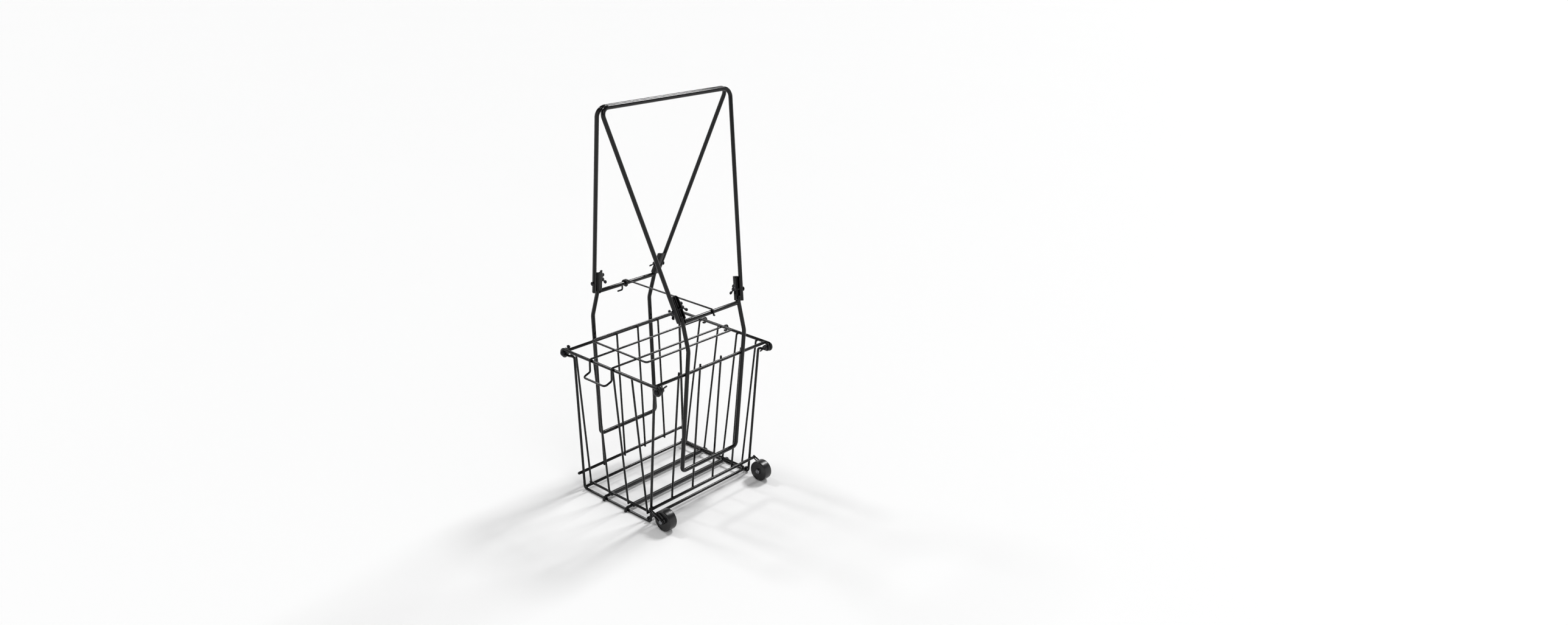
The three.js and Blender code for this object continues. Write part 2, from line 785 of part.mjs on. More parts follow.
function hingedFrame(name, firstClamp) {
  const frame = new THREE.Group();
  frame.add(part(`${name}_leg_frame`, legFrame(), powderCoat));
  frame.add(part(`${name}_crossbar`, crossbar(), powderCoat));
  frame.add(part(`${name}_handle_loop`, handleLoop(), powderCoat));
  [-1, 1].forEach((end, index) => {
    const nutPlace = channelInnerFace - touchGap;
    const bolt = onClamp(clampBolt(), end, 0, 1);
    const nut = onClamp(wingNut(clampNut).rotateZ(clampNutTurn), end, nutPlace, -1);
    frame.add(part(`clamp_bolt_${firstClamp + index}`, bolt, blackSteel));
    frame.add(part(`clamp_wing_nut_${firstClamp + index}`, nut, blackSteel));
  });
  return frame;
}

// Tie rod: hooked over the wheel side's crossbar, coiled round the plain side's, with a bent tail.
function tieRod() {
  const ring = frameTubeRadius + touchGap + tieRodRadius;
  const top = crossbarHeight + ring;
  const hook = arcStations(
    point(0, -hingeBarHalfWidth, crossbarHeight),
    alongY.clone().negate(),
    alongZ,
    ring,
    Math.PI / 2,
    bendSteps,
  );
  const coil = arcStations(
    point(-tieRodOffset, hingeBarHalfWidth, crossbarHeight),
    alongZ,
    alongY,
    ring,
    tieCoilTurns * 2 * Math.PI,
    Math.round(tieCoilTurns * coilStepsPerTurn),
    point(-tieCoilPitch, 0, 0),
  );
  const coilEnd = coil[coil.length - 1];
  const tail = bentLine(
    [
      coilEnd,
      point(coilEnd.x, coilEnd.y, coilEnd.z - tieTailDrop),
      point(coilEnd.x - tieTailLength, coilEnd.y, coilEnd.z - tieTailDrop),
    ],
    [tieTailBendRadius],
    smallBendSteps,
  );
  const hookTip = point(0, -hingeBarHalfWidth - ring, crossbarHeight - tieHookDrop);
  const hookFoot = point(0, -hingeBarHalfWidth - ring, crossbarHeight);
  const coilStart = point(-tieRodOffset, hingeBarHalfWidth, top);
  const stations = [hookTip, hookFoot, ...hook, coilStart, ...coil, ...tail.slice(1)];
  return bar(stations, tieRodRadius, wireSides, null);
}

// Lid: a long loop of wire hooked round the hinge end's rim, with a rectangle welded across it.
function lid() {
  const hookRadius = rimRodRadius + runningGap + lidWireRadius;
  const height = rimHeight + hookRadius;
  const latchDrop = rimHalfLength + hookRadius;
  const half = bentLine(
    [
      point(-lidLatchReach, 0, lidLatchBottom),
      point(-lidLatchReach, lidWireHalfPitch, lidLatchBottom),
      point(-latchDrop, lidWireHalfPitch, lidLatchTop),
      point(-latchDrop, lidWireHalfPitch, height),
      point(rimHalfLength, lidWireHalfPitch, height),
    ],
    [lidFingerBendRadius, lidLatchBendRadius, lidLatchBendRadius],
    smallBendSteps,
  );
  const hookCentre = point(rimHalfLength, lidWireHalfPitch, rimHeight);
  half.push(...arcStations(hookCentre, alongZ, alongX, hookRadius, lidHookSweep, eyeSteps));
  const loop = bar(mirroredLine(half, 1), lidWireRadius, wireSides, null);
  loop.translate(0, lidCentre, 0);

  const frameHeight = height + 2 * lidWireRadius - lidFrameSink;
  const corner = (x, y) => point(x, y, frameHeight);
  const middle = (lidFrameLatchEnd + lidFrameHingeEnd) / 2;
  const outline = bentLine(
    [
      corner(middle + touchGap, lidFramePlainSide),
      corner(lidFrameHingeEnd, lidFramePlainSide),
      corner(lidFrameHingeEnd, lidFrameWheelSide),
      corner(lidFrameLatchEnd, lidFrameWheelSide),
      corner(lidFrameLatchEnd, lidFramePlainSide),
      corner(middle, lidFramePlainSide),
    ],
    [lidFrameBendRadius, lidFrameBendRadius, lidFrameBendRadius, lidFrameBendRadius],
    smallBendSteps,
  );
  return joined([loop, bar(outline, lidWireRadius, wireSides, alongZ)]);
}

function ballCart() {
  const cart = new THREE.Group();
  const latchEnd = basketEnd('latch', 1);
  latchEnd.rotation.z = Math.PI;
  const wheelSide = basketSide('wheel', true);
  wheelSide.rotation.z = Math.PI;
  const wheelFrame = hingedFrame('wheel_side', 1);
  wheelFrame.rotation.z = Math.PI;
  cart.add(latchEnd, basketEnd('hinge', 3), wheelSide, basketSide('plain', false), basketFloor());
  cart.add(wheelSet('latch_end', -1), wheelSet('hinge_end', 1));
  cart.add(wheelFrame, hingedFrame('plain_side', 3));
  cart.add(part('tie_rod', tieRod(), powderCoat), part('lid', lid(), powderCoat));
  return cart;
}

// Move the cart so that the middle of its box is over the origin.
function centred(cart) {
  cart.updateMatrixWorld(true);
  const centre = new THREE.Box3().setFromObject(cart, true).getCenter(new THREE.Vector3());
  cart.position.set(-centre.x, -centre.y, 0);
  return new THREE.Group().add(cart);
}

export default centred(ballCart());
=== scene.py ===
# Ball cart: a steel wire ball basket on two wheels, with two hinged wire frames that meet as a handle.
# Lengths are in millimetres, and most are the solids' own sizes. A few small ones come nearer to the
# real cart than the solids do. Each piece is turned to metres when it is made.
from functools import partial
from math import acos, atan2, cos, hypot, pi, radians, sin, tan

import bmesh
import bpy
from mathutils import Matrix, Vector, noise


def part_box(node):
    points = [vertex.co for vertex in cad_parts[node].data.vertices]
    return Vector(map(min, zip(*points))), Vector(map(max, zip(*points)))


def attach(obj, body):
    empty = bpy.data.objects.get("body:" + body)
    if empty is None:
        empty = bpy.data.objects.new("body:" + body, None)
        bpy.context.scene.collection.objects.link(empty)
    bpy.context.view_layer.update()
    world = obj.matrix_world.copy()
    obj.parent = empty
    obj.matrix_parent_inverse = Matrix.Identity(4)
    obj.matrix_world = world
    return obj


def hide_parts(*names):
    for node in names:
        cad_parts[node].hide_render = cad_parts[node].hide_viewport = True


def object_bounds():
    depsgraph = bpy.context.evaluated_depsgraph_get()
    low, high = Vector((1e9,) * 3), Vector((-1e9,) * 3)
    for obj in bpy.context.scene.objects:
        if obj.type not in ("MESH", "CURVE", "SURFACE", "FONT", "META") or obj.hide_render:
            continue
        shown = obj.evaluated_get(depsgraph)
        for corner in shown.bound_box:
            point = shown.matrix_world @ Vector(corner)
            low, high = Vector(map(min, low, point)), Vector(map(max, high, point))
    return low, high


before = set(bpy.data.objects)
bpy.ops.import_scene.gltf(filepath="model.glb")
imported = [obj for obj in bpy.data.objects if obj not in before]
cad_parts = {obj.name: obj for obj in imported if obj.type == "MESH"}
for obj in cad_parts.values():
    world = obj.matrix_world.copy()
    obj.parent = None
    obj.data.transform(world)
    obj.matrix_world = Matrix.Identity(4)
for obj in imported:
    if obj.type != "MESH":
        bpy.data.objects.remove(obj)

bounds_at_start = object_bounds()

MM = 0.001
TURN = 2 * pi

# Clearances: the gap between pieces that touch on the real cart, and the play of those that turn
GAP = 0.3
PLAY = 0.4

# Wire and rod radii
FRAME_WIRE_RADIUS = 2.5
RIM_ROD_RADIUS = 3
SIDE_WIRE_RADIUS = 2
END_WIRE_RADIUS = 2
CROSS_ROD_RADIUS = 2.5
FLOOR_ROD_RADIUS = 3
FLOOR_BAR_RADIUS = 3
RAIL_RADIUS = 3
BRACKET_WIRE_RADIUS = 1.6
TUBE_RADIUS = 4
TIE_ROD_RADIUS = 1.7
LID_WIRE_RADIUS = 2

# Basket
FOOT_HALF_LENGTH = 138
FOOT_HALF_WIDTH = 94.5
FOOT_BEND_RADIUS = 6
LEG_TOP_HALF_LENGTH = 141
LEG_TOP_HALF_WIDTH = 110
LEG_TOP_BEND_RADIUS = 5
EYE_LEAD_BEND_RADIUS = 8
EYE_LEAD_LENGTH = 7
RIM_HALF_LENGTH = 151
RIM_HALF_WIDTH = 120
RIM_HEIGHT = 294
RAIL_HEIGHT = 34.5
RAIL_OVERHANG = 10
CROSS_ROD_HALF_LENGTH = 128
CROSS_ROD_OVERHANG = 2.5
FLOOR_ROD_OVERHANG = 4
FLOOR_BAR_HALF_PITCH = 31
FLOOR_BAR_STUB_LIFT = 0.5

# Upright wires
SIDE_WIRE_PLACES = (-84, -28, 28, 84)
SIDE_WIRE_TIP = 3
SIDE_WIRE_FOOT = 3
END_WIRE_FOOT_PLACES = (-80.25, -26.75, 26.75, 80.25)
END_WIRE_TOP_PLACES = (-77.25, -25.75, 25.75, 77.25)
END_WIRE_LEAN = 22
END_WIRE_TOP_DROP = 1

# Roller sleeves on the floor bars
SLEEVE_WALL = 1.4
SLEEVE_END_GAP = 0.5
SLEEVE_RIB_PITCH = 2.6
SLEEVE_RIB_DEPTH = 0.25
SLEEVE_RIB_STEPS = 6

# Corner bolts, and the eyes that they go through
CORNER_HALF_WIDTH = 128
CORNER_BOLT_RADIUS = 3
CORNER_BOLT_HEAD_RADIUS = 5.4
CORNER_BOLT_HEAD_HEIGHT = 4
CORNER_BOLT_HEAD_EDGE = 0.8
CORNER_BOLT_HEAD_EASE = 0.2
CORNER_BOLT_HEAD_STEPS = 9
RIM_EYE_SWEEP = radians(255)
END_FRAME_EYE_SWEEP = radians(195)

# Wheels and their hairpin brackets
WHEEL_RADIUS = 20.6
WHEEL_WIDTH = 18.7
WHEEL_HALF_TRACK = 134.5
WHEEL_REACH = 132
WHEEL_HUB_PROUD = 0.9
WHEEL_HUB_RADIUS = 5.4
WHEEL_HUB_FLARE = 0.7
WHEEL_SHOULDER = 1
WHEEL_LIP_WIDTH = 1.8
WHEEL_LIP_SLOPE = 0.6
WHEEL_DISH_DEPTH = 1.6
WHEEL_DISH_RISE = 0.3
WHEEL_CROWN = (0.25, 0.1, 0.02)
WHEEL_PARTING_HALF_WIDTH = 0.5
WHEEL_EASE = 0.45
BRACKET_RAIL_SPREAD = 2
BRACKET_PAST_RAIL = 3

# Wheel bolts: radii and heights of the riveted head, radii and depths of the spring cap's rings
AXLE_RADIUS = 2.5
RIVET_HEAD = ((2.5, 0), (3.9, 0), (3.9, 0.8), (2.9, 1.6), (1.9, 1.6), (1.5, 1.1), (0, 1.1))
RIVET_HEAD_EASE = 0.35
SPRING_CAP = (
    (0, 1.9), (1, 1.9), (1.4, 1.1), (2, 1.1), (2.3, 1.7), (2.9, 1.7),
    (3.2, 0.9), (3.7, 0.9), (4, 1.3), (4.6, 0.9), (4.6, 0), (2.5, 0),
)
SPRING_CAP_EASE = 0.2

# Hinged frames and their clamps
HINGE_HEIGHT = 92.7
HINGE_HALF_WIDTH = 115
FRAME_HALF_LENGTH = 75
HINGE_BEND_RADIUS = 9
FRAME_BEND_RADIUS = 25
FRAME_BEND_RISE = 49.358
LEG_TOP_RISE = 12
CHANNEL_FOOT_RISE = 4.4
CHANNEL_TOP_RISE = 50
CHANNEL_WIDTH = 13
CHANNEL_INNER_DEPTH = 5
CHANNEL_OUTER_DEPTH = 3
CHANNEL_CORNER_RADIUS = 3.5
CHANNEL_WALL = 1.5
CHANNEL_LIP_DROP = 4
CHANNEL_STATIONS = (0.35, 0.7)
CLAMP_BOLT_RISE = 25
CLAMP_BOLT_RADIUS = 2
CLAMP_BOLT_HEAD_RADIUS = 4.4
CLAMP_BOLT_HEAD_HEIGHT = 2.6
CLAMP_BOLT_HEAD_EDGE = 1
CLAMP_BOLT_HEAD_EASE = 0.6
CLAMP_BOLT_HEAD_FLAT = 0.6
CLAMP_BOLT_SEAT = 0.1
CLAMP_BOLT_POINT = 0.5
HANDLE_FOOT_RISE = 2.5
HANDLE_HEIGHT = 777
HANDLE_HALF_LENGTH = 161
HANDLE_BEND_RADIUS = 14

# Threads
THREAD_DEPTH = 0.3
CORNER_THREAD_PITCH = 0.8
CLAMP_THREAD_PITCH = 0.7
BOLT_END_LENGTH = 0.4

# Wing nuts. A wing's root, foot and tip are shares of the hub's radius, the wing's height and its
# reach. A plate's eased edge is a share of its thickness.
CORNER_NUT = {"bore": 3, "hub": 5.4, "height": 5, "reach": 12, "wing": 10.5, "thick": 2}
CLAMP_NUT = {"bore": 2, "hub": 4.2, "height": 4.4, "reach": 11, "wing": 9.5, "thick": 1.8}
CLAMP_NUT_TURN = radians(60)
NUT_BORE_PLAY = 0.2
NUT_CHAMFER = 0.4
NUT_TAPER = 0.84
NUT_EASE = 0.5
NUT_THREADS = 8
WING_ROOT = 0.5
WING_FOOT = 0.3
WING_TIP = 0.32
WING_STEPS = 8
PLATE_EDGE = 0.3
PLATE_EDGE_STEP = 0.3

# Tie rod
TIE_HOOK_DROP = 7
TIE_HOOK_TOE = 4
TIE_HOOK_BEND_RADIUS = 2.2
TIE_COIL_TURNS = 1.25
TIE_COIL_PITCH = 4
TIE_TAIL_DROP = 15
TIE_TAIL_LENGTH = 13
TIE_TAIL_BEND_RADIUS = 3
TIE_ROD_OFFSET = 1

# Lid
LID_WIRE_HALF_PITCH = 30
LID_CENTRE = 17
LID_HOOK_SWEEP = radians(230)
LID_LATCH_REACH = 173
LID_LATCH_TOP = 274
LID_LATCH_BOTTOM = 268
LID_LATCH_BEND_RADIUS = 4
LID_FINGER_BEND_RADIUS = 6
LID_FRAME_ENDS = (-97, 136)
LID_FRAME_SIDES = (-43, 110)
LID_FRAME_BEND_RADIUS = 5
LID_FRAME_SINK = 1.4

# How finely round bars, their bends and turned pieces are drawn
TUBE_SIDES = 20
BEND_STEPS = 9
SMALL_BEND_STEPS = 7
EYE_STEPS = 26
COIL_STEPS = 40
LATHE_SIDES = 32
WHEEL_SIDES = 96
SHARP_EDGE = radians(38)

# A rounded corner of a turned piece takes at most this share of the room beside it
ROOM_SHARE = 0.9

# Ends of bars. A cut edge is eased by shares of its own size: inward, and back from the end.
CUT_EDGE_SIZE = 0.28
CUT_EDGE = ((0, 1), (0.1, 0.5), (0.4, 0.12), (1, 0))
DOME_ANGLES = [radians(angle) for angle in (0, 20, 40, 60, 75)]
TUBE_WALL = 1.1
TUBE_BORE_DEPTH = 9
TUBE_MOUTH = 0.2

# Welds: half sizes of each kind of spot, the last of them along the weld's own axis
WELDS = {
    "bracket": (3.6, 2.6, 2.2),
    "channel_side": (1.8, 1.6, 3.4),
    "channel_foot": (2.6, 3, 1.3),
    "lid": (1.9, 1.9, 1.3),
    "side_wire": (2.7, 2.4, 1.5),
    "end_wire_foot": (2.3, 2.6, 1.5),
    "end_wire_top": (2.2, 2.6, 1.4),
    "floor_rod": (2, 2, 1.2),
    "rail": (3, 2.8, 1.8),
    "floor_bar_foot": (2.6, 3.2, 1.4),
    "floor_bar": (2.4, 2.8, 1.3),
    "rim": (3.2, 3.4, 1.3),
}
WELD_SINK = 0.3
BRACKET_WELD_SINK = 0.8
CHANNEL_SIDE_WELD_RISE = 1.5
CHANNEL_FOOT_WELD_INSET = 2.2
END_WIRE_WELD_DROP = 1
FLOOR_ROD_WELD_INSET = 0.5
WELD_ROUGHNESS = 0.12
WELD_PATTERN = 0.9
WELD_RING_BEAD = 0.8
WELD_RING_RIPPLE = 0.3
WELD_RING_STEPS = 30
WELD_RING_SIDES = 10

# Light: sines of the heights between which the white of the walls falls off, and what is left above
WALL_TOP = 0.26
CEILING_FROM = 0.5
CEILING_STRENGTH = 0.15
FLOOR_HALF_SIZE = 30

# Camera: its place in metres, its angles in degrees, and its lens and sensor in millimetres
CAMERA_PLACE = (-1.45533, -1.49250, 1.16103)
CAMERA_AZIMUTH = -50.374
CAMERA_ELEVATION = 20.740
CAMERA_ROLL = 2.013
CAMERA_LENS = 26.692
CAMERA_SENSOR = 36
CAMERA_REACH = 100

# Heights and places that follow from the sizes above
FOOT_HEIGHT = FRAME_WIRE_RADIUS * cos(pi / 8)
FLOOR_ROD_HEIGHT = FOOT_HEIGHT + FRAME_WIRE_RADIUS + GAP + FLOOR_ROD_RADIUS
FLOOR_ROD_HALF_WIDTH = FOOT_HALF_WIDTH - FOOT_BEND_RADIUS
CROSS_ROD_HEIGHT = FLOOR_ROD_HEIGHT + FLOOR_ROD_RADIUS + GAP + CROSS_ROD_RADIUS
END_EYE_RADIUS = CORNER_BOLT_RADIUS + PLAY + FRAME_WIRE_RADIUS + GAP / 2
RIM_EYE_RADIUS = CORNER_BOLT_RADIUS + PLAY + RIM_ROD_RADIUS + GAP / 2
CORNER_HEIGHT = RIM_HEIGHT - RIM_EYE_RADIUS
END_EYE_HALF_LENGTH = RIM_HALF_LENGTH - RIM_ROD_RADIUS - GAP - FRAME_WIRE_RADIUS
LEG_TOP_HEIGHT = CORNER_HEIGHT - END_EYE_RADIUS
LEG_SHARE_AT_RAIL = (RAIL_HEIGHT - FOOT_HEIGHT) / (LEG_TOP_HEIGHT - FOOT_HEIGHT)
LEG_AT_RAIL = FOOT_HALF_WIDTH + (LEG_TOP_HALF_WIDTH - FOOT_HALF_WIDTH) * LEG_SHARE_AT_RAIL
RAIL_HALF_WIDTH = LEG_AT_RAIL + FRAME_WIRE_RADIUS + GAP + RAIL_RADIUS
RAIL_HALF_LENGTH = FOOT_HALF_LENGTH + RAIL_OVERHANG
HANDLE_HALF_GAP = TUBE_RADIUS + GAP / 2
RIM_CLEAR_HALF_WIDTH = RIM_HALF_WIDTH + RIM_ROD_RADIUS + GAP + TUBE_RADIUS
UPRIGHT_SLOPE = (RIM_CLEAR_HALF_WIDTH - HINGE_HALF_WIDTH) / (RIM_HEIGHT - HINGE_HEIGHT)
FRAME_BEND_HEIGHT = RIM_HEIGHT + FRAME_BEND_RISE
FRAME_BEND_HALF_WIDTH = HINGE_HALF_WIDTH + UPRIGHT_SLOPE * (FRAME_BEND_HEIGHT - HINGE_HEIGHT)
LEAN = atan2(FRAME_BEND_HALF_WIDTH - HANDLE_HALF_GAP, HANDLE_HEIGHT - FRAME_BEND_HEIGHT)
CROSSBAR_HEIGHT = FRAME_BEND_HEIGHT + (FRAME_BEND_HALF_WIDTH - HINGE_HALF_WIDTH) / tan(LEAN)
TUBE_OFFSET = 2 * TUBE_RADIUS + GAP
LEAN_LENGTH = (HANDLE_HEIGHT - CROSSBAR_HEIGHT) / cos(LEAN)
FLARE = atan2(HANDLE_HALF_LENGTH - FRAME_HALF_LENGTH - TUBE_OFFSET, LEAN_LENGTH)
CHANNEL_INNER_FACE = TUBE_RADIUS - CHANNEL_WIDTH

X = Vector((1, 0, 0))
Y = Vector((0, 1, 0))
Z = Vector((0, 0, 1))
HALF_TURN = Matrix.Rotation(pi, 4, "Z")
AS_DRAWN = Matrix.Identity(4)
ALONG_X = Matrix.Rotation(pi / 2, 4, "Y")


def cart_middle():
    """The cart's own middle in metres, found between the solids of the two crossbars."""
    corners = [*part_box("wheel_side_crossbar"), *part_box("plain_side_crossbar")]
    middle = sum(corners, Vector()) / len(corners)
    return Vector((middle.x, middle.y, 0))


CART_TO_FRAME = Matrix.Translation(cart_middle()) @ Matrix.Scale(MM, 4)


# Paths


def arc(centre, outward, forward, radius, sweep, steps, pitch=Vector()):
    """Stations round a centre, after the start point itself. Each full turn also moves by one pitch."""
    stations = []
    for step in range(1, steps + 1):
        angle = sweep * step / steps
        place = centre + outward * radius * cos(angle) + forward * radius * sin(angle)
        stations.append(place + pitch * angle / TURN)
    return stations


def bent_line(corners, bend_radii, steps=BEND_STEPS):
    """A line of corners, each corner rounded to its bend radius."""
    corners = [Vector(corner) for corner in corners]
    stations = [corners[0]]
    for first, corner, last, radius in zip(corners, corners[1:], corners[2:], bend_radii):
        before = (corner - first).normalized()
        after = (last - corner).normalized()
        turn = before.angle(after)
        inward = (after - before * before.dot(after)).normalized()
        start = corner - before * radius * tan(turn / 2)
        stations.append(start)
        stations += arc(start + inward * radius, -inward, before, radius, turn, steps)
    stations.append(corners[-1])
    return stations


def mirrored_line(half, axis):
    """A half wire that starts on the mirror's plane or beside it, with its mirror image before it."""
    other = []
    for station in reversed(half):
        image = station.copy()
        image[axis] = -image[axis]
        other.append(image)
    return other + (half[1:] if half[0][axis] == 0 else half)


# Shapes, each added to a mesh that is being made


def skin(mesh, rings, closed=False):
    """Faces between neighbouring rings of the same count."""
    for low, high in zip(rings, rings[1:] + (rings[:1] if closed else [])):
        count = len(low)
        for index in range(count):
            following = (index + 1) % count
            mesh.faces.new((low[index], low[following], high[following], high[index]))


def close_ring(mesh, ring, centre):
    """A fan from a ring to its centre."""
    middle = mesh.verts.new(centre)
    for index, vertex in enumerate(ring):
        mesh.faces.new((vertex, ring[(index + 1) % len(ring)], middle))


def end_profile(style, radius):
    """Ring radii and distances from the bar's end, and the distance at which the end is closed."""
    if style == "dome":
        return [(radius * cos(a), radius * (1 - sin(a))) for a in DOME_ANGLES], 0
    edge = radius * CUT_EDGE_SIZE
    rim = [(radius - edge * inward, edge * back) for inward, back in CUT_EDGE]
    if style == "tube":
        bore = radius - TUBE_WALL
        return rim + [(bore, edge * TUBE_MOUTH), (bore, TUBE_BORE_DEPTH)], TUBE_BORE_DEPTH
    return rim, 0


def station_tangents(path, closed):
    """The direction of the path at each station."""
    after = [(high - low).normalized() for low, high in zip(path, path[1:] + path[:1])]
    before = after[-1:] + after[:-1]
    if not closed:
        before[0] = after[-1] = Vector()
    return [(low + high).normalized() for low, high in zip(before, after)]


def round_bar(mesh, path, radius, ends="cut", closed=False, sides=TUBE_SIDES):
    """A round bar along a path. Its ends are cut and eased, domed, or cut tube."""
    tangents = station_tangents(path, closed)
    side = tangents[0].orthogonal().normalized()
    angles = [TURN * index / sides for index in range(sides)]
    rings = []

    def ring(centre, tangent, ring_radius):
        other = tangent.cross(side)
        spokes = [side * cos(a) + other * sin(a) for a in angles]
        return [mesh.verts.new(centre + spoke * ring_radius) for spoke in spokes]

    profile, closing = end_profile(ends, radius)
    if not closed:
        ahead = tangents[0]
        rings += [ring(path[0] + ahead * back, ahead, r) for r, back in reversed(profile)]
        close_ring(mesh, rings[0], path[0] + ahead * closing)
    for index, (station, tangent) in enumerate(zip(path, tangents)):
        previous = tangents[max(index - 1, 0)]
        side = previous.rotation_difference(tangent) @ side
        side = (side - tangent * side.dot(tangent)).normalized()
        if closed or 0 < index < len(path) - 1:
            rings.append(ring(station, tangent, radius))
    if not closed:
        ahead = tangents[-1]
        rings += [ring(path[-1] - ahead * back, ahead, r) for r, back in profile]
        close_ring(mesh, rings[-1], path[-1] - ahead * closing)
    skin(mesh, rings, closed)


def turned(mesh, profile, place=AS_DRAWN, sides=LATHE_SIDES, closed=False):
    """A shape turned about Z from radii and heights. An open profile starts and ends on the axis."""
    angles = [TURN * index / sides for index in range(sides)]
    rings = []
    for radius, height in profile if closed else profile[1:-1]:
        circle = [Vector((radius * cos(a), radius * sin(a), height)) for a in angles]
        rings.append([mesh.verts.new(place @ corner) for corner in circle])
    skin(mesh, rings, closed)
    if not closed:
        close_ring(mesh, rings[0], place @ Vector((0, 0, profile[0][1])))
        close_ring(mesh, rings[-1], place @ Vector((0, 0, profile[-1][1])))


def eased(profile, radius, steps=3):
    """A turned profile with each corner rounded, as far as its neighbours leave room."""
    corners = [Vector((r, h, 0)) for r, h in profile]
    least = 1e-3
    radii = []
    for first, corner, last in zip(corners, corners[1:], corners[2:]):
        room = min((corner - first).length, (last - corner).length) / 2
        turn = (corner - first).angle(last - corner, 0)
        widest = room * ROOM_SHARE / max(tan(turn / 2), least)
        radii.append(max(min(radius, widest), least))
    return [(place.x, place.y) for place in bent_line(corners, radii, steps)]


def plate(mesh, outline, thickness, place):
    """A flat plate from an outline in its own XZ plane, with eased edges."""
    middle = sum((Vector(corner) for corner in outline), Vector((0, 0))) / len(outline)
    half = thickness / 2
    edge = thickness * PLATE_EDGE
    step = edge * PLATE_EDGE_STEP
    lower = [(edge, -half), (step, -half + step), (0, -half + edge)]
    upper = [(0, half - edge), (step, half - step), (edge, half)]
    rings = []
    for inset, depth in lower + upper:
        ring = []
        for corner in outline:
            offset = Vector(corner) - middle
            shrunk = middle + offset * (1 - inset / max(offset.length, edge))
            ring.append(mesh.verts.new(place @ Vector((shrunk.x, depth, shrunk.y))))
        rings.append(ring)
    skin(mesh, rings)
    mesh.faces.new(rings[0])
    mesh.faces.new(rings[-1])


def weld_spot(mesh, kind, place, axis=Z):
    """The small lump of metal where two wires were melted together."""
    turn = Z.rotation_difference(axis.normalized()).to_matrix().to_4x4()
    shape = Matrix.Translation(place) @ turn @ Matrix.Diagonal((*WELDS[kind], 1))
    made = bmesh.ops.create_icosphere(mesh, subdivisions=3, radius=1, matrix=shape)
    for vertex in made["verts"]:
        offset = vertex.co - place
        swell = noise.noise(vertex.co * WELD_PATTERN)
        vertex.co = place + offset * (1 + WELD_ROUGHNESS * swell)


def weld_ring(mesh, centre, axis, radius):
    """A bead of weld run round the end of a bar."""
    side = axis.orthogonal().normalized()
    other = axis.cross(side)
    path = []
    for index in range(WELD_RING_STEPS):
        angle = TURN * index / WELD_RING_STEPS
        place = centre + (side * cos(angle) + other * sin(angle)) * radius
        ripple = noise.noise(place * WELD_PATTERN)
        path.append(place + axis * ripple * WELD_RING_BEAD * WELD_RING_RIPPLE)
    round_bar(mesh, path, WELD_RING_BEAD, closed=True, sides=WELD_RING_SIDES)


def wing_outline(hub, height, reach, wing):
    """One wing in its own plane, from the hub out to the round tip."""
    root = hub * WING_ROOT
    low = wing * WING_FOOT
    tip = reach * WING_TIP
    tip_x = reach - tip
    tip_z = wing - tip

    def curve(*corners):
        points = []
        for index in range(1, WING_STEPS + 1):
            t = index / WING_STEPS
            axes = zip(*corners)
            mixed = [(1 - t) ** 2 * s + 2 * t * (1 - t) * h + t * t * e for s, h, e in axes]
            points.append(tuple(mixed))
        return points

    outline = [(root, low), (hub, low)]
    outline += curve((hub, low), (reach, low), (reach, tip_z))
    for index in range(1, 2 * WING_STEPS + 1):
        angle = pi * index / (2 * WING_STEPS)
        outline.append((tip_x + tip * cos(angle), tip_z + tip * sin(angle)))
    outline += curve((tip_x - tip, tip_z), (hub, height), (root, height))
    return outline


def wing_nut(mesh, nut, place):
    """A pressed wing nut: hub with a threaded bore, and two wings."""
    hub, top = nut["hub"], nut["height"]
    bore = nut["bore"] + NUT_BORE_PLAY
    mouth = bore + NUT_CHAMFER
    outside = [(mouth, 0), (hub, 0), (hub * NUT_TAPER, top), (mouth, top)]
    profile = eased([(bore, NUT_CHAMFER), *outside, (bore, top - NUT_CHAMFER)], NUT_EASE)
    for index in range(1, NUT_THREADS):
        height = top - NUT_CHAMFER - (top - 2 * NUT_CHAMFER) * index / NUT_THREADS
        profile.append((bore + (THREAD_DEPTH if index % 2 else 0), height))
    turned(mesh, profile, place, closed=True)
    outline = wing_outline(hub, top, nut["reach"], nut["wing"])
    plate(mesh, outline, nut["thick"], place)
    plate(mesh, outline, nut["thick"], place @ HALF_TURN)


def threaded(start, end, radius, pitch):
    """Profile of a threaded length, as grooves at the thread's pitch."""
    count = max(int(abs(end - start) / pitch) * 2, 2)
    points = []
    for index in range(count + 1):
        height = start + (end - start) * index / count
        points.append((radius - (THREAD_DEPTH if index % 2 == 0 else 0), height))
    return points


# Basket ends, drawn for the +X end


def end_frame_wire(mesh):
    eye = Vector((END_EYE_HALF_LENGTH, CORNER_HALF_WIDTH, CORNER_HEIGHT))
    lead = CORNER_HALF_WIDTH - EYE_LEAD_LENGTH
    corners = [
        (FOOT_HALF_LENGTH, 0, FOOT_HEIGHT),
        (FOOT_HALF_LENGTH, FOOT_HALF_WIDTH, FOOT_HEIGHT),
        (LEG_TOP_HALF_LENGTH, LEG_TOP_HALF_WIDTH, LEG_TOP_HEIGHT),
        (END_EYE_HALF_LENGTH, lead, LEG_TOP_HEIGHT),
        (END_EYE_HALF_LENGTH, CORNER_HALF_WIDTH, LEG_TOP_HEIGHT),
    ]
    bends = [FOOT_BEND_RADIUS, LEG_TOP_BEND_RADIUS, EYE_LEAD_BEND_RADIUS]
    half = bent_line(corners, bends, SMALL_BEND_STEPS)
    half += arc(eye, -Z, Y, END_EYE_RADIUS, END_FRAME_EYE_SWEEP, EYE_STEPS)
    round_bar(mesh, mirrored_line(half, 1), FRAME_WIRE_RADIUS)


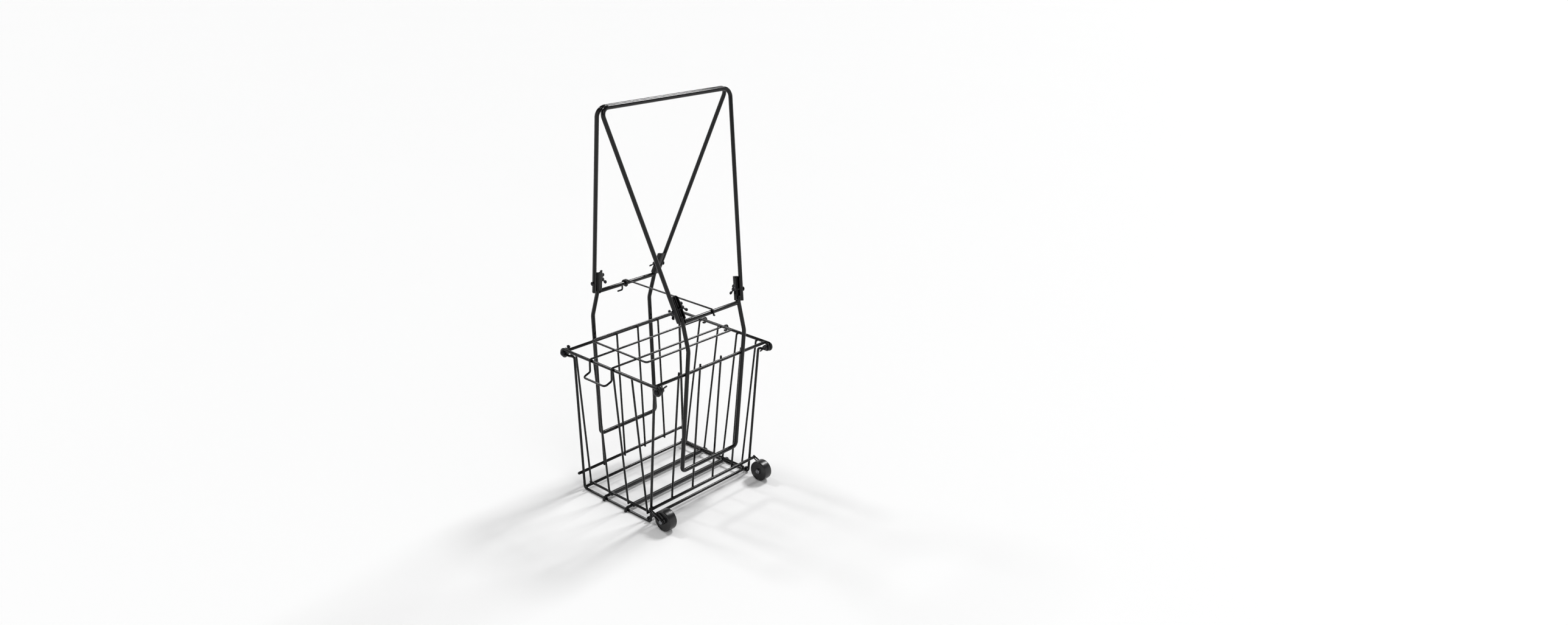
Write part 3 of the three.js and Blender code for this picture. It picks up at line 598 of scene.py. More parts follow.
def end_rim(mesh):
    eye = Vector((RIM_HALF_LENGTH, CORNER_HALF_WIDTH, CORNER_HEIGHT))
    half = [Vector((RIM_HALF_LENGTH, CORNER_HALF_WIDTH, RIM_HEIGHT))]
    half += arc(eye, Z, Y, RIM_EYE_RADIUS, RIM_EYE_SWEEP, EYE_STEPS)
    round_bar(mesh, mirrored_line(half, 1), RIM_ROD_RADIUS)


def cross_rod(mesh):
    reach = FLOOR_ROD_HALF_WIDTH + CROSS_ROD_OVERHANG
    ends = [Vector((CROSS_ROD_HALF_LENGTH, side * reach, CROSS_ROD_HEIGHT)) for side in (-1, 1)]
    round_bar(mesh, ends, CROSS_ROD_RADIUS, "dome")


def end_wire(mesh, index):
    foot_x = CROSS_ROD_HALF_LENGTH + CROSS_ROD_RADIUS + GAP + END_WIRE_RADIUS
    foot_z = CROSS_ROD_HEIGHT - CROSS_ROD_RADIUS + GAP
    top_x = RIM_HALF_LENGTH - RIM_ROD_RADIUS - GAP - END_WIRE_RADIUS
    top_y = END_WIRE_TOP_PLACES[index] - END_WIRE_LEAN
    foot = Vector((foot_x, END_WIRE_FOOT_PLACES[index], foot_z))
    round_bar(mesh, [foot, Vector((top_x, top_y, RIM_HEIGHT - END_WIRE_TOP_DROP))], END_WIRE_RADIUS)


def corner_bolt(mesh, side):
    """A round-headed bolt through the eyes of the rim and the end frame. Its head is outside."""
    shank = RIM_HALF_LENGTH + RIM_ROD_RADIUS + GAP
    nut_face = END_EYE_HALF_LENGTH - FRAME_WIRE_RADIUS - GAP
    inner = nut_face - CORNER_NUT["height"] - GAP
    thread_end = shank - RIM_ROD_RADIUS
    radius = CORNER_BOLT_RADIUS
    wide = CORNER_BOLT_HEAD_RADIUS
    ease = CORNER_BOLT_HEAD_EASE
    dome = shank + CORNER_BOLT_HEAD_EDGE
    rise = CORNER_BOLT_HEAD_HEIGHT - CORNER_BOLT_HEAD_EDGE
    steps = CORNER_BOLT_HEAD_STEPS
    angles = [pi / 2 * index / steps for index in range(1, steps)]
    profile = [(0, inner), (radius - 2 * THREAD_DEPTH, inner)]
    profile += threaded(inner + BOLT_END_LENGTH, thread_end, radius, CORNER_THREAD_PITCH)
    profile += [(radius, thread_end), (radius, shank)]
    profile += [(wide - ease, shank), (wide, shank + ease), (wide, dome)]
    profile += [(wide * cos(a), dome + rise * sin(a)) for a in angles]
    profile.append((0, dome + rise))
    centre = Matrix.Translation((0, side * CORNER_HALF_WIDTH, CORNER_HEIGHT))
    turned(mesh, profile, centre @ ALONG_X)


def corner_wing_nut(mesh, side):
    rise = RIM_HEIGHT - CORNER_HEIGHT
    toward_rim = atan2(rise, RIM_HALF_WIDTH - CORNER_HALF_WIDTH)
    spin = -toward_rim if side > 0 else pi + toward_rim
    face = END_EYE_HALF_LENGTH - FRAME_WIRE_RADIUS - GAP
    place = Matrix.Translation((face, side * CORNER_HALF_WIDTH, CORNER_HEIGHT))
    turn = Matrix.Rotation(-pi / 2, 4, "Y")
    wing_nut(mesh, CORNER_NUT, place @ turn @ Matrix.Rotation(spin, 4, "Z"))


# Basket sides, drawn for the +Y side


def side_bar(mesh, reach, y, z, radius, ends="dome"):
    """A straight bar along the cart's side, as long each way as its reach."""
    round_bar(mesh, [Vector((end * reach, y, z)) for end in (-1, 1)], radius, ends)


def side_rim(mesh):
    reach = RIM_HALF_LENGTH - RIM_ROD_RADIUS - GAP
    side_bar(mesh, reach, RIM_HALF_WIDTH, RIM_HEIGHT, RIM_ROD_RADIUS, "cut")


def lower_rail(mesh):
    side_bar(mesh, RAIL_HALF_LENGTH, RAIL_HALF_WIDTH, RAIL_HEIGHT, RAIL_RADIUS)


def floor_rod(mesh):
    reach = FOOT_HALF_LENGTH + FLOOR_ROD_OVERHANG
    side_bar(mesh, reach, FLOOR_ROD_HALF_WIDTH, FLOOR_ROD_HEIGHT, FLOOR_ROD_RADIUS)


def side_wire_line(index):
    """Foot, crossing of the rail, crossing of the rim, and top of a side wire."""
    inward = RIM_ROD_RADIUS + GAP + SIDE_WIRE_RADIUS
    at_rail = Vector((0, RAIL_HALF_WIDTH - inward, RAIL_HEIGHT))
    at_rim = Vector((0, RIM_HALF_WIDTH - inward, RIM_HEIGHT))
    rise = (at_rim - at_rail).normalized()
    foot = at_rail - rise * SIDE_WIRE_FOOT
    top = at_rim + rise * (RIM_ROD_RADIUS + SIDE_WIRE_TIP)
    line = [foot, at_rail, at_rim, top]
    for place in line:
        place.x = SIDE_WIRE_PLACES[index]
    return line


def side_wire(mesh, index):
    foot, _, _, top = side_wire_line(index)
    round_bar(mesh, [foot, top], SIDE_WIRE_RADIUS)


def hairpin_bracket(mesh, end):
    """Wire from the rail's end, down round the wheel bolt and back, welded to the rail."""
    plane = WHEEL_HALF_TRACK + WHEEL_WIDTH / 2 + WHEEL_HUB_PROUD + GAP + BRACKET_WIRE_RADIUS
    bolt = Vector((end * plane, WHEEL_REACH, WHEEL_RADIUS))
    rail = Vector((end * plane, RAIL_HALF_WIDTH, RAIL_HEIGHT))
    along = (bolt - rail).normalized()
    across = X.cross(along).normalized()
    loop_radius = AXLE_RADIUS + PLAY + BRACKET_WIRE_RADIUS
    start = rail - along * BRACKET_PAST_RAIL
    reach = (bolt - start).length
    from_middle = hypot(reach, BRACKET_RAIL_SPREAD)
    meets = acos(loop_radius / from_middle) - atan2(reach, BRACKET_RAIL_SPREAD)
    side = across * cos(meets) + along * sin(meets)
    ahead = along * cos(meets) - across * sin(meets)
    loop = arc(bolt, side, ahead, loop_radius, pi - 2 * meets, EYE_STEPS)
    first = start + across * BRACKET_RAIL_SPREAD
    last = start - across * BRACKET_RAIL_SPREAD
    round_bar(mesh, [first, bolt + side * loop_radius, *loop, last], BRACKET_WIRE_RADIUS)
    weld_spot(mesh, "bracket", rail - X * end * BRACKET_WELD_SINK, along)


def wheel_side_rail(mesh):
    lower_rail(mesh)
    hairpin_bracket(mesh, -1)
    hairpin_bracket(mesh, 1)


# Floor


def floor_bar(mesh, side):
    """The bar's ends hook down over the foot rods of both ends."""
    hook = FRAME_WIRE_RADIUS + GAP + FLOOR_BAR_RADIUS
    reach = FOOT_HALF_LENGTH + hook
    height = FOOT_HEIGHT + hook
    y = side * FLOOR_BAR_HALF_PITCH
    half = bent_line([(0, y, height), (reach, y, height), (reach, y, FLOOR_BAR_STUB_LIFT)], [hook])
    round_bar(mesh, mirrored_line(half, 0), FLOOR_BAR_RADIUS)


def roller_sleeve(mesh, side):
    """A ribbed tube that turns on its floor bar."""
    bore = FLOOR_BAR_RADIUS + PLAY
    outer = bore + SLEEVE_WALL
    half = CROSS_ROD_HALF_LENGTH - CROSS_ROD_RADIUS - SLEEVE_END_GAP
    count = int(2 * half / SLEEVE_RIB_PITCH)
    profile = [(bore, -half)]
    for index in range(count * SLEEVE_RIB_STEPS + 1):
        share = index / (count * SLEEVE_RIB_STEPS)
        groove = (1 + cos(TURN * count * share)) / 2
        profile.append((outer - SLEEVE_RIB_DEPTH * groove, half * (2 * share - 1)))
    profile.append((bore, half))
    height = FOOT_HEIGHT + FRAME_WIRE_RADIUS + GAP + FLOOR_BAR_RADIUS
    centre = Matrix.Translation((0, side * FLOOR_BAR_HALF_PITCH, height))
    turned(mesh, profile, centre @ ALONG_X, sides=TUBE_SIDES, closed=True)


# Wheels, drawn about Z with the outer face up


def wheel_shape(mesh):
    """A moulded wheel: crowned tread with round shoulders, dished faces and a hub boss."""
    half = WHEEL_WIDTH / 2
    bore = AXLE_RADIUS + PLAY
    hub_face = half + WHEEL_HUB_PROUD
    dish = half - WHEEL_DISH_DEPTH
    lip = WHEEL_RADIUS - WHEEL_SHOULDER - WHEEL_LIP_WIDTH
    shoulder_drop, crown_drop, parting_drop = WHEEL_CROWN

    def face(sign):
        corners = [
            (bore, hub_face),
            (WHEEL_HUB_RADIUS, hub_face),
            (WHEEL_HUB_RADIUS + WHEEL_HUB_FLARE, dish),
            (lip - WHEEL_LIP_SLOPE, dish + WHEEL_DISH_RISE),
            (lip, half),
            (WHEEL_RADIUS - WHEEL_SHOULDER, half),
            (WHEEL_RADIUS - shoulder_drop, half - WHEEL_SHOULDER),
            (WHEEL_RADIUS - crown_drop, half - 3 * WHEEL_SHOULDER),
        ]
        return eased([(radius, sign * height) for radius, height in corners], WHEEL_EASE)

    beside = WHEEL_RADIUS - parting_drop
    line = WHEEL_PARTING_HALF_WIDTH
    parting = [(beside, -line), (WHEEL_RADIUS, 0), (beside, line)]
    turned(mesh, face(-1) + parting + face(1)[::-1], sides=WHEEL_SIDES, closed=True)


def axle_shape(mesh):
    """The wheel bolt: a low riveted head over the bracket's loop, and a ringed spring cap inside."""
    half = WHEEL_WIDTH / 2 + WHEEL_HUB_PROUD
    loop_face = half + GAP + 2 * BRACKET_WIRE_RADIUS + GAP
    cap_face = -half - GAP
    head = eased([(radius, loop_face + rise) for radius, rise in RIVET_HEAD], RIVET_HEAD_EASE)
    cap = eased([(radius, cap_face - depth) for radius, depth in SPRING_CAP], SPRING_CAP_EASE)
    turned(mesh, cap + head)


# Hinged frames, drawn for the +Y side


def clamp_axes(end):
    """Directions at a clamp: up the flared tube, outward along the clamp bolt, and square to both."""
    up_lean = Vector((0, -sin(LEAN), cos(LEAN)))
    sideways = X * end
    up = up_lean * cos(FLARE) + sideways * sin(FLARE)
    outward = sideways * cos(FLARE) - up_lean * sin(FLARE)
    return up, outward, up.cross(outward).normalized()


def clamp_root(end):
    return Vector((end * FRAME_HALF_LENGTH, HINGE_HALF_WIDTH, CROSSBAR_HEIGHT))


def clamp_channel(mesh, end):
    """A U of sheet round the leg's end, open to the cart's outside, its lips cut back at the top."""
    up, outward, across = clamp_axes(end)
    root = clamp_root(end)

    def wall_line(inset):
        """One face of the sheet, with two more stations on each of its straight ends."""
        right = TUBE_RADIUS - inset
        left = CHANNEL_INNER_FACE + inset
        deep = CHANNEL_INNER_DEPTH - inset
        lip = -CHANNEL_OUTER_DEPTH
        corners = [(right, lip, 0), (right, deep, 0), (left, deep, 0), (left, lip, 0)]
        line = bent_line(corners, [CHANNEL_CORNER_RADIUS - inset] * 2, SMALL_BEND_STEPS)
        near = [line[0].lerp(line[1], share) for share in CHANNEL_STATIONS]
        far = [line[-1].lerp(line[-2], share) for share in CHANNEL_STATIONS[::-1]]
        return [line[0], *near, *line[1:-1], *far, line[-1]]

    section = wall_line(0) + wall_line(CHANNEL_WALL)[::-1]
    depth_range = CHANNEL_INNER_DEPTH + CHANNEL_OUTER_DEPTH
    rings = []
    for share in (0, 0.5, 1):
        ring = []
        for corner in section:
            lip = 1 - (corner.y + CHANNEL_OUTER_DEPTH) / depth_range
            top = CHANNEL_TOP_RISE - CHANNEL_LIP_DROP * lip**2
            rise = CHANNEL_FOOT_RISE + (top - CHANNEL_FOOT_RISE) * share
            place = root + outward * corner.x - across * end * corner.y + up * rise
            ring.append(mesh.verts.new(place))
        rings.append(ring)
    skin(mesh, rings)
    count = len(section)
    for ring in (rings[0], rings[-1]):
        for index in range(count // 2 - 1):
            far = count - 1 - index
            mesh.faces.new((ring[index], ring[index + 1], ring[far - 1], ring[far]))


def channel_welds(mesh, end):
    """Welds that join the channel's foot to the leg on both sides, and its end to the crossbar."""
    up, outward, across = clamp_axes(end)
    foot = clamp_root(end) + up * CHANNEL_FOOT_RISE
    for side in (-1, 1):
        beside = foot + across * side * (TUBE_RADIUS - WELD_SINK) + up * CHANNEL_SIDE_WELD_RISE
        weld_spot(mesh, "channel_side", beside, up)
    inset = CHANNEL_INNER_FACE + CHANNEL_FOOT_WELD_INSET
    weld_spot(mesh, "channel_foot", foot + outward * inset, up)


def leg_frame(mesh):
    root = clamp_root(1)
    corners = [
        (0, HINGE_HALF_WIDTH, HINGE_HEIGHT),
        (FRAME_HALF_LENGTH, HINGE_HALF_WIDTH, HINGE_HEIGHT),
        (FRAME_HALF_LENGTH, FRAME_BEND_HALF_WIDTH, FRAME_BEND_HEIGHT),
        root,
    ]
    half = bent_line(corners, [HINGE_BEND_RADIUS, FRAME_BEND_RADIUS])
    half.append(root + clamp_axes(1)[0] * LEG_TOP_RISE)
    round_bar(mesh, mirrored_line(half, 0), TUBE_RADIUS, "tube")
    for end in (-1, 1):
        clamp_channel(mesh, end)
        channel_welds(mesh, end)


def crossbar(mesh):
    reach = FRAME_HALF_LENGTH - TUBE_RADIUS - GAP
    side_bar(mesh, reach, HINGE_HALF_WIDTH, CROSSBAR_HEIGHT, TUBE_RADIUS, "cut")
    for end in (-1, 1):
        place = Vector((end * reach, HINGE_HALF_WIDTH, CROSSBAR_HEIGHT))
        weld_ring(mesh, place - X * end * WELD_SINK, X, TUBE_RADIUS)


def handle_loop(mesh):
    up, outward, _ = clamp_axes(1)
    root = clamp_root(1) + outward * TUBE_OFFSET
    corner = root + up * ((HANDLE_HEIGHT - root.z) / up.z)
    foot = root + up * HANDLE_FOOT_RISE
    half = bent_line([(0, corner.y, corner.z), corner, foot], [HANDLE_BEND_RADIUS])
    round_bar(mesh, mirrored_line(half, 0), TUBE_RADIUS, "tube")


def on_clamp(end, outward_place, facing):
    """The place of a shape drawn about Z, stood on a clamp's axis."""
    up, outward, _ = clamp_axes(end)
    z_axis = outward * facing
    x_axis = up.cross(z_axis)
    centre = clamp_root(end) + up * CLAMP_BOLT_RISE + outward * outward_place
    turn = Matrix((x_axis, up, z_axis)).transposed().to_4x4()
    return Matrix.Translation(centre) @ turn


def clamp_bolt(mesh, end):
    """Pan-headed bolt through the handle tube and the channel."""
    face = TUBE_OFFSET + TUBE_RADIUS + GAP
    nut_end = CHANNEL_INNER_FACE - GAP - CLAMP_NUT["height"] - GAP
    top = face + CLAMP_BOLT_HEAD_HEIGHT
    radius = CLAMP_BOLT_RADIUS
    wide = CLAMP_BOLT_HEAD_RADIUS
    thread_end = TUBE_RADIUS
    rim = face + CLAMP_BOLT_HEAD_EDGE
    flat = wide * CLAMP_BOLT_HEAD_FLAT
    seat = radius + CLAMP_BOLT_SEAT
    head = [(seat, face), (wide, face), (wide, rim), (flat, top), (0, top)]
    profile = [(0, nut_end), (radius - CLAMP_BOLT_POINT, nut_end)]
    profile += threaded(nut_end + BOLT_END_LENGTH, thread_end, radius, CLAMP_THREAD_PITCH)
    profile += [(radius, thread_end), (radius, face), *eased(head, CLAMP_BOLT_HEAD_EASE)]
    turned(mesh, profile, on_clamp(end, 0, 1))


def clamp_wing_nut(mesh, end):
    place = on_clamp(end, CHANNEL_INNER_FACE - GAP, -1)
    wing_nut(mesh, CLAMP_NUT, place @ Matrix.Rotation(CLAMP_NUT_TURN, 4, "Z"))


# Tie rod and lid, drawn in place


def tie_rod(mesh):
    """Hooked over the wheel side's crossbar, coiled round the plain side's, with a bent tail."""
    ring = TUBE_RADIUS + GAP + TIE_ROD_RADIUS
    hook_centre = Vector((0, -HINGE_HALF_WIDTH, CROSSBAR_HEIGHT))
    coil_centre = Vector((-TIE_ROD_OFFSET, HINGE_HALF_WIDTH, CROSSBAR_HEIGHT))
    hook_start = hook_centre - Y * ring
    hook_corner = hook_start - Z * (TIE_HOOK_DROP - TIE_ROD_RADIUS)
    hook_tip = hook_corner + X * TIE_HOOK_TOE
    toe = bent_line([hook_tip, hook_corner, hook_start], [TIE_HOOK_BEND_RADIUS], SMALL_BEND_STEPS)
    hook = arc(hook_centre, -Y, Z, ring, pi / 2, BEND_STEPS)
    coil_start = Vector((-TIE_ROD_OFFSET, HINGE_HALF_WIDTH, CROSSBAR_HEIGHT + ring))
    pitch = Vector((-TIE_COIL_PITCH, 0, 0))
    coil = arc(coil_centre, Z, Y, ring, TIE_COIL_TURNS * TURN, COIL_STEPS, pitch)
    low = coil[-1] - Z * TIE_TAIL_DROP
    end = low - X * TIE_TAIL_LENGTH
    tail = bent_line([coil[-1], low, end], [TIE_TAIL_BEND_RADIUS], SMALL_BEND_STEPS)
    round_bar(mesh, [*toe, *hook, coil_start, *coil, *tail[1:]], TIE_ROD_RADIUS, "dome")


def lid(mesh):
    """A long loop of wire hooked round the hinge end's rim, with a rectangle welded across it."""
    hook_radius = RIM_ROD_RADIUS + PLAY + LID_WIRE_RADIUS
    height = RIM_HEIGHT + hook_radius
    drop = RIM_HALF_LENGTH + hook_radius
    pitch = LID_WIRE_HALF_PITCH
    corners = [
        (-LID_LATCH_REACH, 0, LID_LATCH_BOTTOM),
        (-LID_LATCH_REACH, pitch, LID_LATCH_BOTTOM),
        (-drop, pitch, LID_LATCH_TOP),
        (-drop, pitch, height),
        (RIM_HALF_LENGTH, pitch, height),
    ]
    bends = [LID_FINGER_BEND_RADIUS, LID_LATCH_BEND_RADIUS, LID_LATCH_BEND_RADIUS]
    half = bent_line(corners, bends, SMALL_BEND_STEPS)
    hinge = Vector((RIM_HALF_LENGTH, pitch, RIM_HEIGHT))
    half += arc(hinge, Z, X, hook_radius, LID_HOOK_SWEEP, EYE_STEPS)
    loop = [station + Y * LID_CENTRE for station in mirrored_line(half, 1)]
    round_bar(mesh, loop, LID_WIRE_RADIUS)

    frame_height = height + 2 * LID_WIRE_RADIUS - LID_FRAME_SINK
    first, last = LID_FRAME_ENDS
    near, far = LID_FRAME_SIDES
    middle = ((first + last) / 2, far)
    corners = [middle, (last, far), (last, near), (first, near), (first, far), middle]
    corners = [(x, y, frame_height) for x, y in corners]
    outline = bent_line(corners, [LID_FRAME_BEND_RADIUS] * 4, SMALL_BEND_STEPS)
    round_bar(mesh, outline[:-1], LID_WIRE_RADIUS, closed=True)
    for x in LID_FRAME_ENDS:
        for side in (-1, 1):
            crossing = Vector((x, LID_CENTRE + side * pitch, (height + frame_height) / 2))
            weld_spot(mesh, "lid", crossing)


# Weld spots of the basket


def half_of_basket_welds():
    """Kind, place and axis of each weld of the plain side and the hinge end."""
    for index in range(len(SIDE_WIRE_PLACES)):
        _, at_rail, at_rim, _ = side_wire_line(index)
        for place, reach in ((at_rail, RAIL_HALF_WIDTH), (at_rim, RIM_HALF_WIDTH)):
            yield "side_wire", Vector((place.x, (place.y + reach) / 2 - WELD_SINK, place.z)), Y
    foot_x = CROSS_ROD_HALF_LENGTH + CROSS_ROD_RADIUS + GAP / 2
    top_x = RIM_HALF_LENGTH - RIM_ROD_RADIUS - GAP / 2
    for foot_y, top_y in zip(END_WIRE_FOOT_PLACES, END_WIRE_TOP_PLACES):
        yield "end_wire_foot", Vector((foot_x, foot_y, CROSS_ROD_HEIGHT)), X
        top_z = RIM_HEIGHT - END_WIRE_TOP_DROP - END_WIRE_WELD_DROP
        yield "end_wire_top", Vector((top_x, top_y - END_WIRE_LEAN, top_z)), X
    under_cross_rod = CROSS_ROD_HEIGHT - CROSS_ROD_RADIUS + FLOOR_ROD_HEIGHT + FLOOR_ROD_RADIUS
    cross_x = CROSS_ROD_HALF_LENGTH
    foot_x = FOOT_HALF_LENGTH
    rod_y = FLOOR_ROD_HALF_WIDTH
    bar_y = FLOOR_BAR_HALF_PITCH
    for side in (-1, 1):
        for kind, axis, x, y, z in (
            ("floor_rod", Z, cross_x, rod_y, under_cross_rod / 2),
            ("floor_rod", Z, foot_x, rod_y - FLOOR_ROD_WELD_INSET, FLOOR_ROD_HEIGHT - FLOOR_ROD_RADIUS),
            ("rail", Y, foot_x, RAIL_HALF_WIDTH - RAIL_RADIUS, RAIL_HEIGHT),
            ("floor_bar_foot", Z, foot_x, bar_y, FOOT_HEIGHT + FRAME_WIRE_RADIUS),
            ("floor_bar", Z, cross_x, bar_y, FLOOR_ROD_HEIGHT + FLOOR_BAR_RADIUS),
            ("rim", X, top_x, RIM_HALF_WIDTH, RIM_HEIGHT),
        ):
            yield kind, Vector((x, side * y, z)), axis


def basket_welds(mesh):
    for turn in (AS_DRAWN, HALF_TURN):
        for kind, place, axis in half_of_basket_welds():
            weld_spot(mesh, kind, turn @ place, axis)


# Materials

MULTIPLY = {"operation": "MULTIPLY"}


def linear(hex_colour):
    """An sRGB hex colour as linear red, green, blue and alpha."""
    channels = [int(hex_colour[start : start + 2], 16) / 255 for start in (1, 3, 5)]
    straight = [c / 12.92 if c <= 0.04045 else ((c + 0.055) / 1.055) ** 2.4 for c in channels]
    return (*straight, 1)


def per_metre(millimetres):
    """Noise scale for a pattern whose grain has this size."""
    return 1 / (millimetres * MM)


def between(low, high):
    """Settings of a mix of two colours."""
    return {"data_type": "RGBA", "A": linear(low), "B": linear(high)}


def add(owner, kind, settings=None, links=None):
    """A node with its settings and links. A setting is a socket's value or one of the node's own.

    A link names the socket it enters, and gives the node and the socket that it comes from."""
    tree = owner.node_tree
    node = tree.nodes.new("ShaderNode" + kind)
    for name, value in (settings or {}).items():
        if name in node.inputs:
            node.inputs[name].default_value = value
        else:
            setattr(node, name, value)
    for name, (source, output) in (links or {}).items():
        tree.links.new(source.outputs[output], node.inputs[name])
    return node


def new_material(name):
    """A blank material, the maker of its nodes, and the link that lays patterns on the piece."""
    material = bpy.data.materials.new(name)
    material.use_nodes = True
    material.node_tree.nodes.clear()
    node = partial(add, material)
    return material, node, {"Vector": (node("TexCoord"), "Object")}


def finish_material(material, settings, colour, rough, relief):
    """Gives a material its shader.

    Rough holds the least, the most, and what varies it. Relief holds its strength, its depth
    in millimetres, and what raises it."""
    least, most, varied_by = rough
    gloss = add(material, "MapRange", {"To Min": least, "To Max": most}, {"Value": varied_by})
    strength, depth, raised_by = relief
    low = {"Strength": strength, "Distance": depth * MM}
    bump = add(material, "Bump", low, {"Height": raised_by})
    links = {"Base Color": (colour, "Result"), "Roughness": (gloss, "Result")}
    shader = add(material, "BsdfPrincipled", settings, {**links, "Normal": (bump, "Normal")})
    add(material, "OutputMaterial", None, {"Surface": (shader, "BSDF")})
    return material


def gloss_powder_coat():
    """Polyester powder coat, sprayed on steel wire and baked: deep black, high gloss, slight orange
    peel. Dust greys what faces up.

    The orange peel is about 1 mm on the real coat. It is drawn at 2.5 mm, so that it shows."""
    material, node, at = new_material("powder_coat_baked_gloss_black")
    surface = node("NewGeometry")
    cloud = node("TexNoise", {"Scale": per_metre(45), "Detail": 3}, at)
    peel = node("TexNoise", {"Scale": per_metre(2.5), "Detail": 1.5}, at)
    speck = node("TexNoise", {"Scale": per_metre(6), "Detail": 4}, at)
    tint = node("Mix", between("#060607", "#0b0b0c"), {"Factor": (cloud, "Fac")})
    facing = node("SeparateXYZ", None, {"Vector": (surface, "Normal")})
    top = {"From Min": 0.75, "From Max": 1.0, "To Max": 0.16}
    upward = node("MapRange", top, {"Value": (facing, "Z")})
    dust = node("Math", MULTIPLY, {0: (upward, "Result"), 1: (speck, "Fac")})
    dusty = {"data_type": "RGBA", "B": linear("#4b4a47")}
    colour = node("Mix", dusty, {"Factor": (dust, "Value"), "A": (tint, "Result")})
    rough = (0.1, 0.18, (cloud, "Fac"))
    relief = (0.12, 0.15, (peel, "Fac"))
    return finish_material(material, {"IOR": 1.37}, colour, rough, relief)


def black_plated_steel():
    """Zinc plated steel with a black passivation: dark, a little metallic, paler where it is rubbed."""
    material, node, at = new_material("zinc_plated_steel_black_passivated")
    surface = node("NewGeometry")
    cloud = node("TexNoise", {"Scale": per_metre(3), "Detail": 5}, at)
    proud = {"From Min": 0.52, "From Max": 0.62, "To Max": 0.7}
    edge = node("MapRange", proud, {"Value": (surface, "Pointiness")})
    rubbed = node("Math", MULTIPLY, {0: (edge, "Result"), 1: (cloud, "Fac")})
    colour = node("Mix", between("#1c1c20", "#6d6c6a"), {"Factor": (rubbed, "Value")})
    rough = (0.2, 0.38, (cloud, "Fac"))
    relief = (0.15, 0.05, (cloud, "Fac"))
    return finish_material(material, {"Metallic": 0.75}, colour, rough, relief)


def moulded_wheel_plastic():
    """Polypropylene, injection moulded: satin black, finely grained, duller and greyer where it rolls.

    The grain is about 0.2 mm on the real wheel. It is drawn at 0.7 mm, so that it shows."""
    material, node, at = new_material("polypropylene_moulded_satin_black")
    split = node("SeparateXYZ", None, at)
    flat = node("CombineXYZ", None, {"X": (split, "X"), "Y": (split, "Y")})
    radius = node("VectorMath", {"operation": "LENGTH"}, {"Vector": (flat, "Vector")})
    rolling = {"From Min": (WHEEL_RADIUS - WHEEL_SHOULDER) * MM, "From Max": WHEEL_RADIUS * MM}
    tread = node("MapRange", rolling, {"Value": (radius, "Value")})
    scuffs = node("TexNoise", {"Scale": per_metre(5), "Detail": 6}, at)
    worn = node("Math", MULTIPLY, {0: (tread, "Result"), 1: (scuffs, "Fac")})
    colour = node("Mix", between("#0a0a0b", "#1d1c1d"), {"Factor": (worn, "Value")})
    grain = node("TexNoise", {"Scale": per_metre(0.7), "Detail": 2}, at)
    rough = (0.24, 0.42, (worn, "Value"))
    relief = (0.25, 0.08, (grain, "Fac"))
    return finish_material(material, {"IOR": 1.49}, colour, rough, relief)


def extruded_sleeve_plastic():
    """Polyethylene tube, extruded and ribbed: satin black, with faint lines along it from the die."""
    material, node, at = new_material("polyethylene_extruded_satin_black")
    stretch = node("Mapping", {"Scale": (0.05, 1, 1)}, at)
    along = {"Vector": (stretch, "Vector")}
    lines = node("TexNoise", {"Scale": per_metre(0.8), "Detail": 3}, along)
    colour = node("Mix", between("#090909", "#121213"), {"Factor": (lines, "Fac")})
    rough = (0.28, 0.44, (lines, "Fac"))
    relief = (0.2, 0.05, (lines, "Fac"))
    return finish_material(material, {"IOR": 1.51}, colour, rough, relief)


def bright_plated_steel():
    """Zinc plated steel, clear passivated, dulled by use: a soft, cloudy grey, with painted shade
    darkening its low places.
    """
    material, node, at = new_material("zinc_plated_steel_dulled")
    surface = node("NewGeometry")
    cloud = node("TexNoise", {"Scale": per_metre(2.5), "Detail": 5}, at)
    # Painted shade: hollows, grooves and inner steps are coloured darker
    recess_range = {"From Min": 0.5, "From Max": 0.42}
    painted_recess_shade = node("MapRange", recess_range, {"Value": (surface, "Pointiness")})
    colour = node("Mix", between("#85868a", "#2b2b2d"), {"Factor": (painted_recess_shade, "Result")})
    rough = (0.25, 0.45, (cloud, "Fac"))
    relief = (0.15, 0.05, (cloud, "Fac"))
    return finish_material(material, {"Metallic": 1}, colour, rough, relief)


# How the pieces of each finish were made, which their names end with, and the finish itself
FINISHES = {
    "powder_coat": ("coated", gloss_powder_coat()),
    "black_steel": ("plated", black_plated_steel()),
    "wheel_plastic": ("moulded", moulded_wheel_plastic()),
    "sleeve_plastic": ("ribbed", extruded_sleeve_plastic()),
}
WHEEL_BOLT_FINISH = bright_plated_steel()


# Pieces


def keep_in_box(mesh, place):
    """Presses in what would stand out of the solids' own box, by tenths of a millimetre at most."""
    low, high = (Vector(corner) for corner in bounds_at_start)
    back = place.inverted()
    for vertex in mesh.verts:
        point = place @ vertex.co
        kept = Vector(min(max(value, least), most) for value, least, most in zip(point, low, high))
        if kept != point:
            vertex.co = back @ kept


def into_scene(name, data):
    made = bpy.data.objects.new(name, data)
    bpy.context.scene.collection.objects.link(made)
    return made


def mesh_into_scene(name, mesh, material):
    data = bpy.data.meshes.new(name)
    mesh.to_mesh(data)
    mesh.free()
    data.materials.append(material)
    return into_scene(name, data)


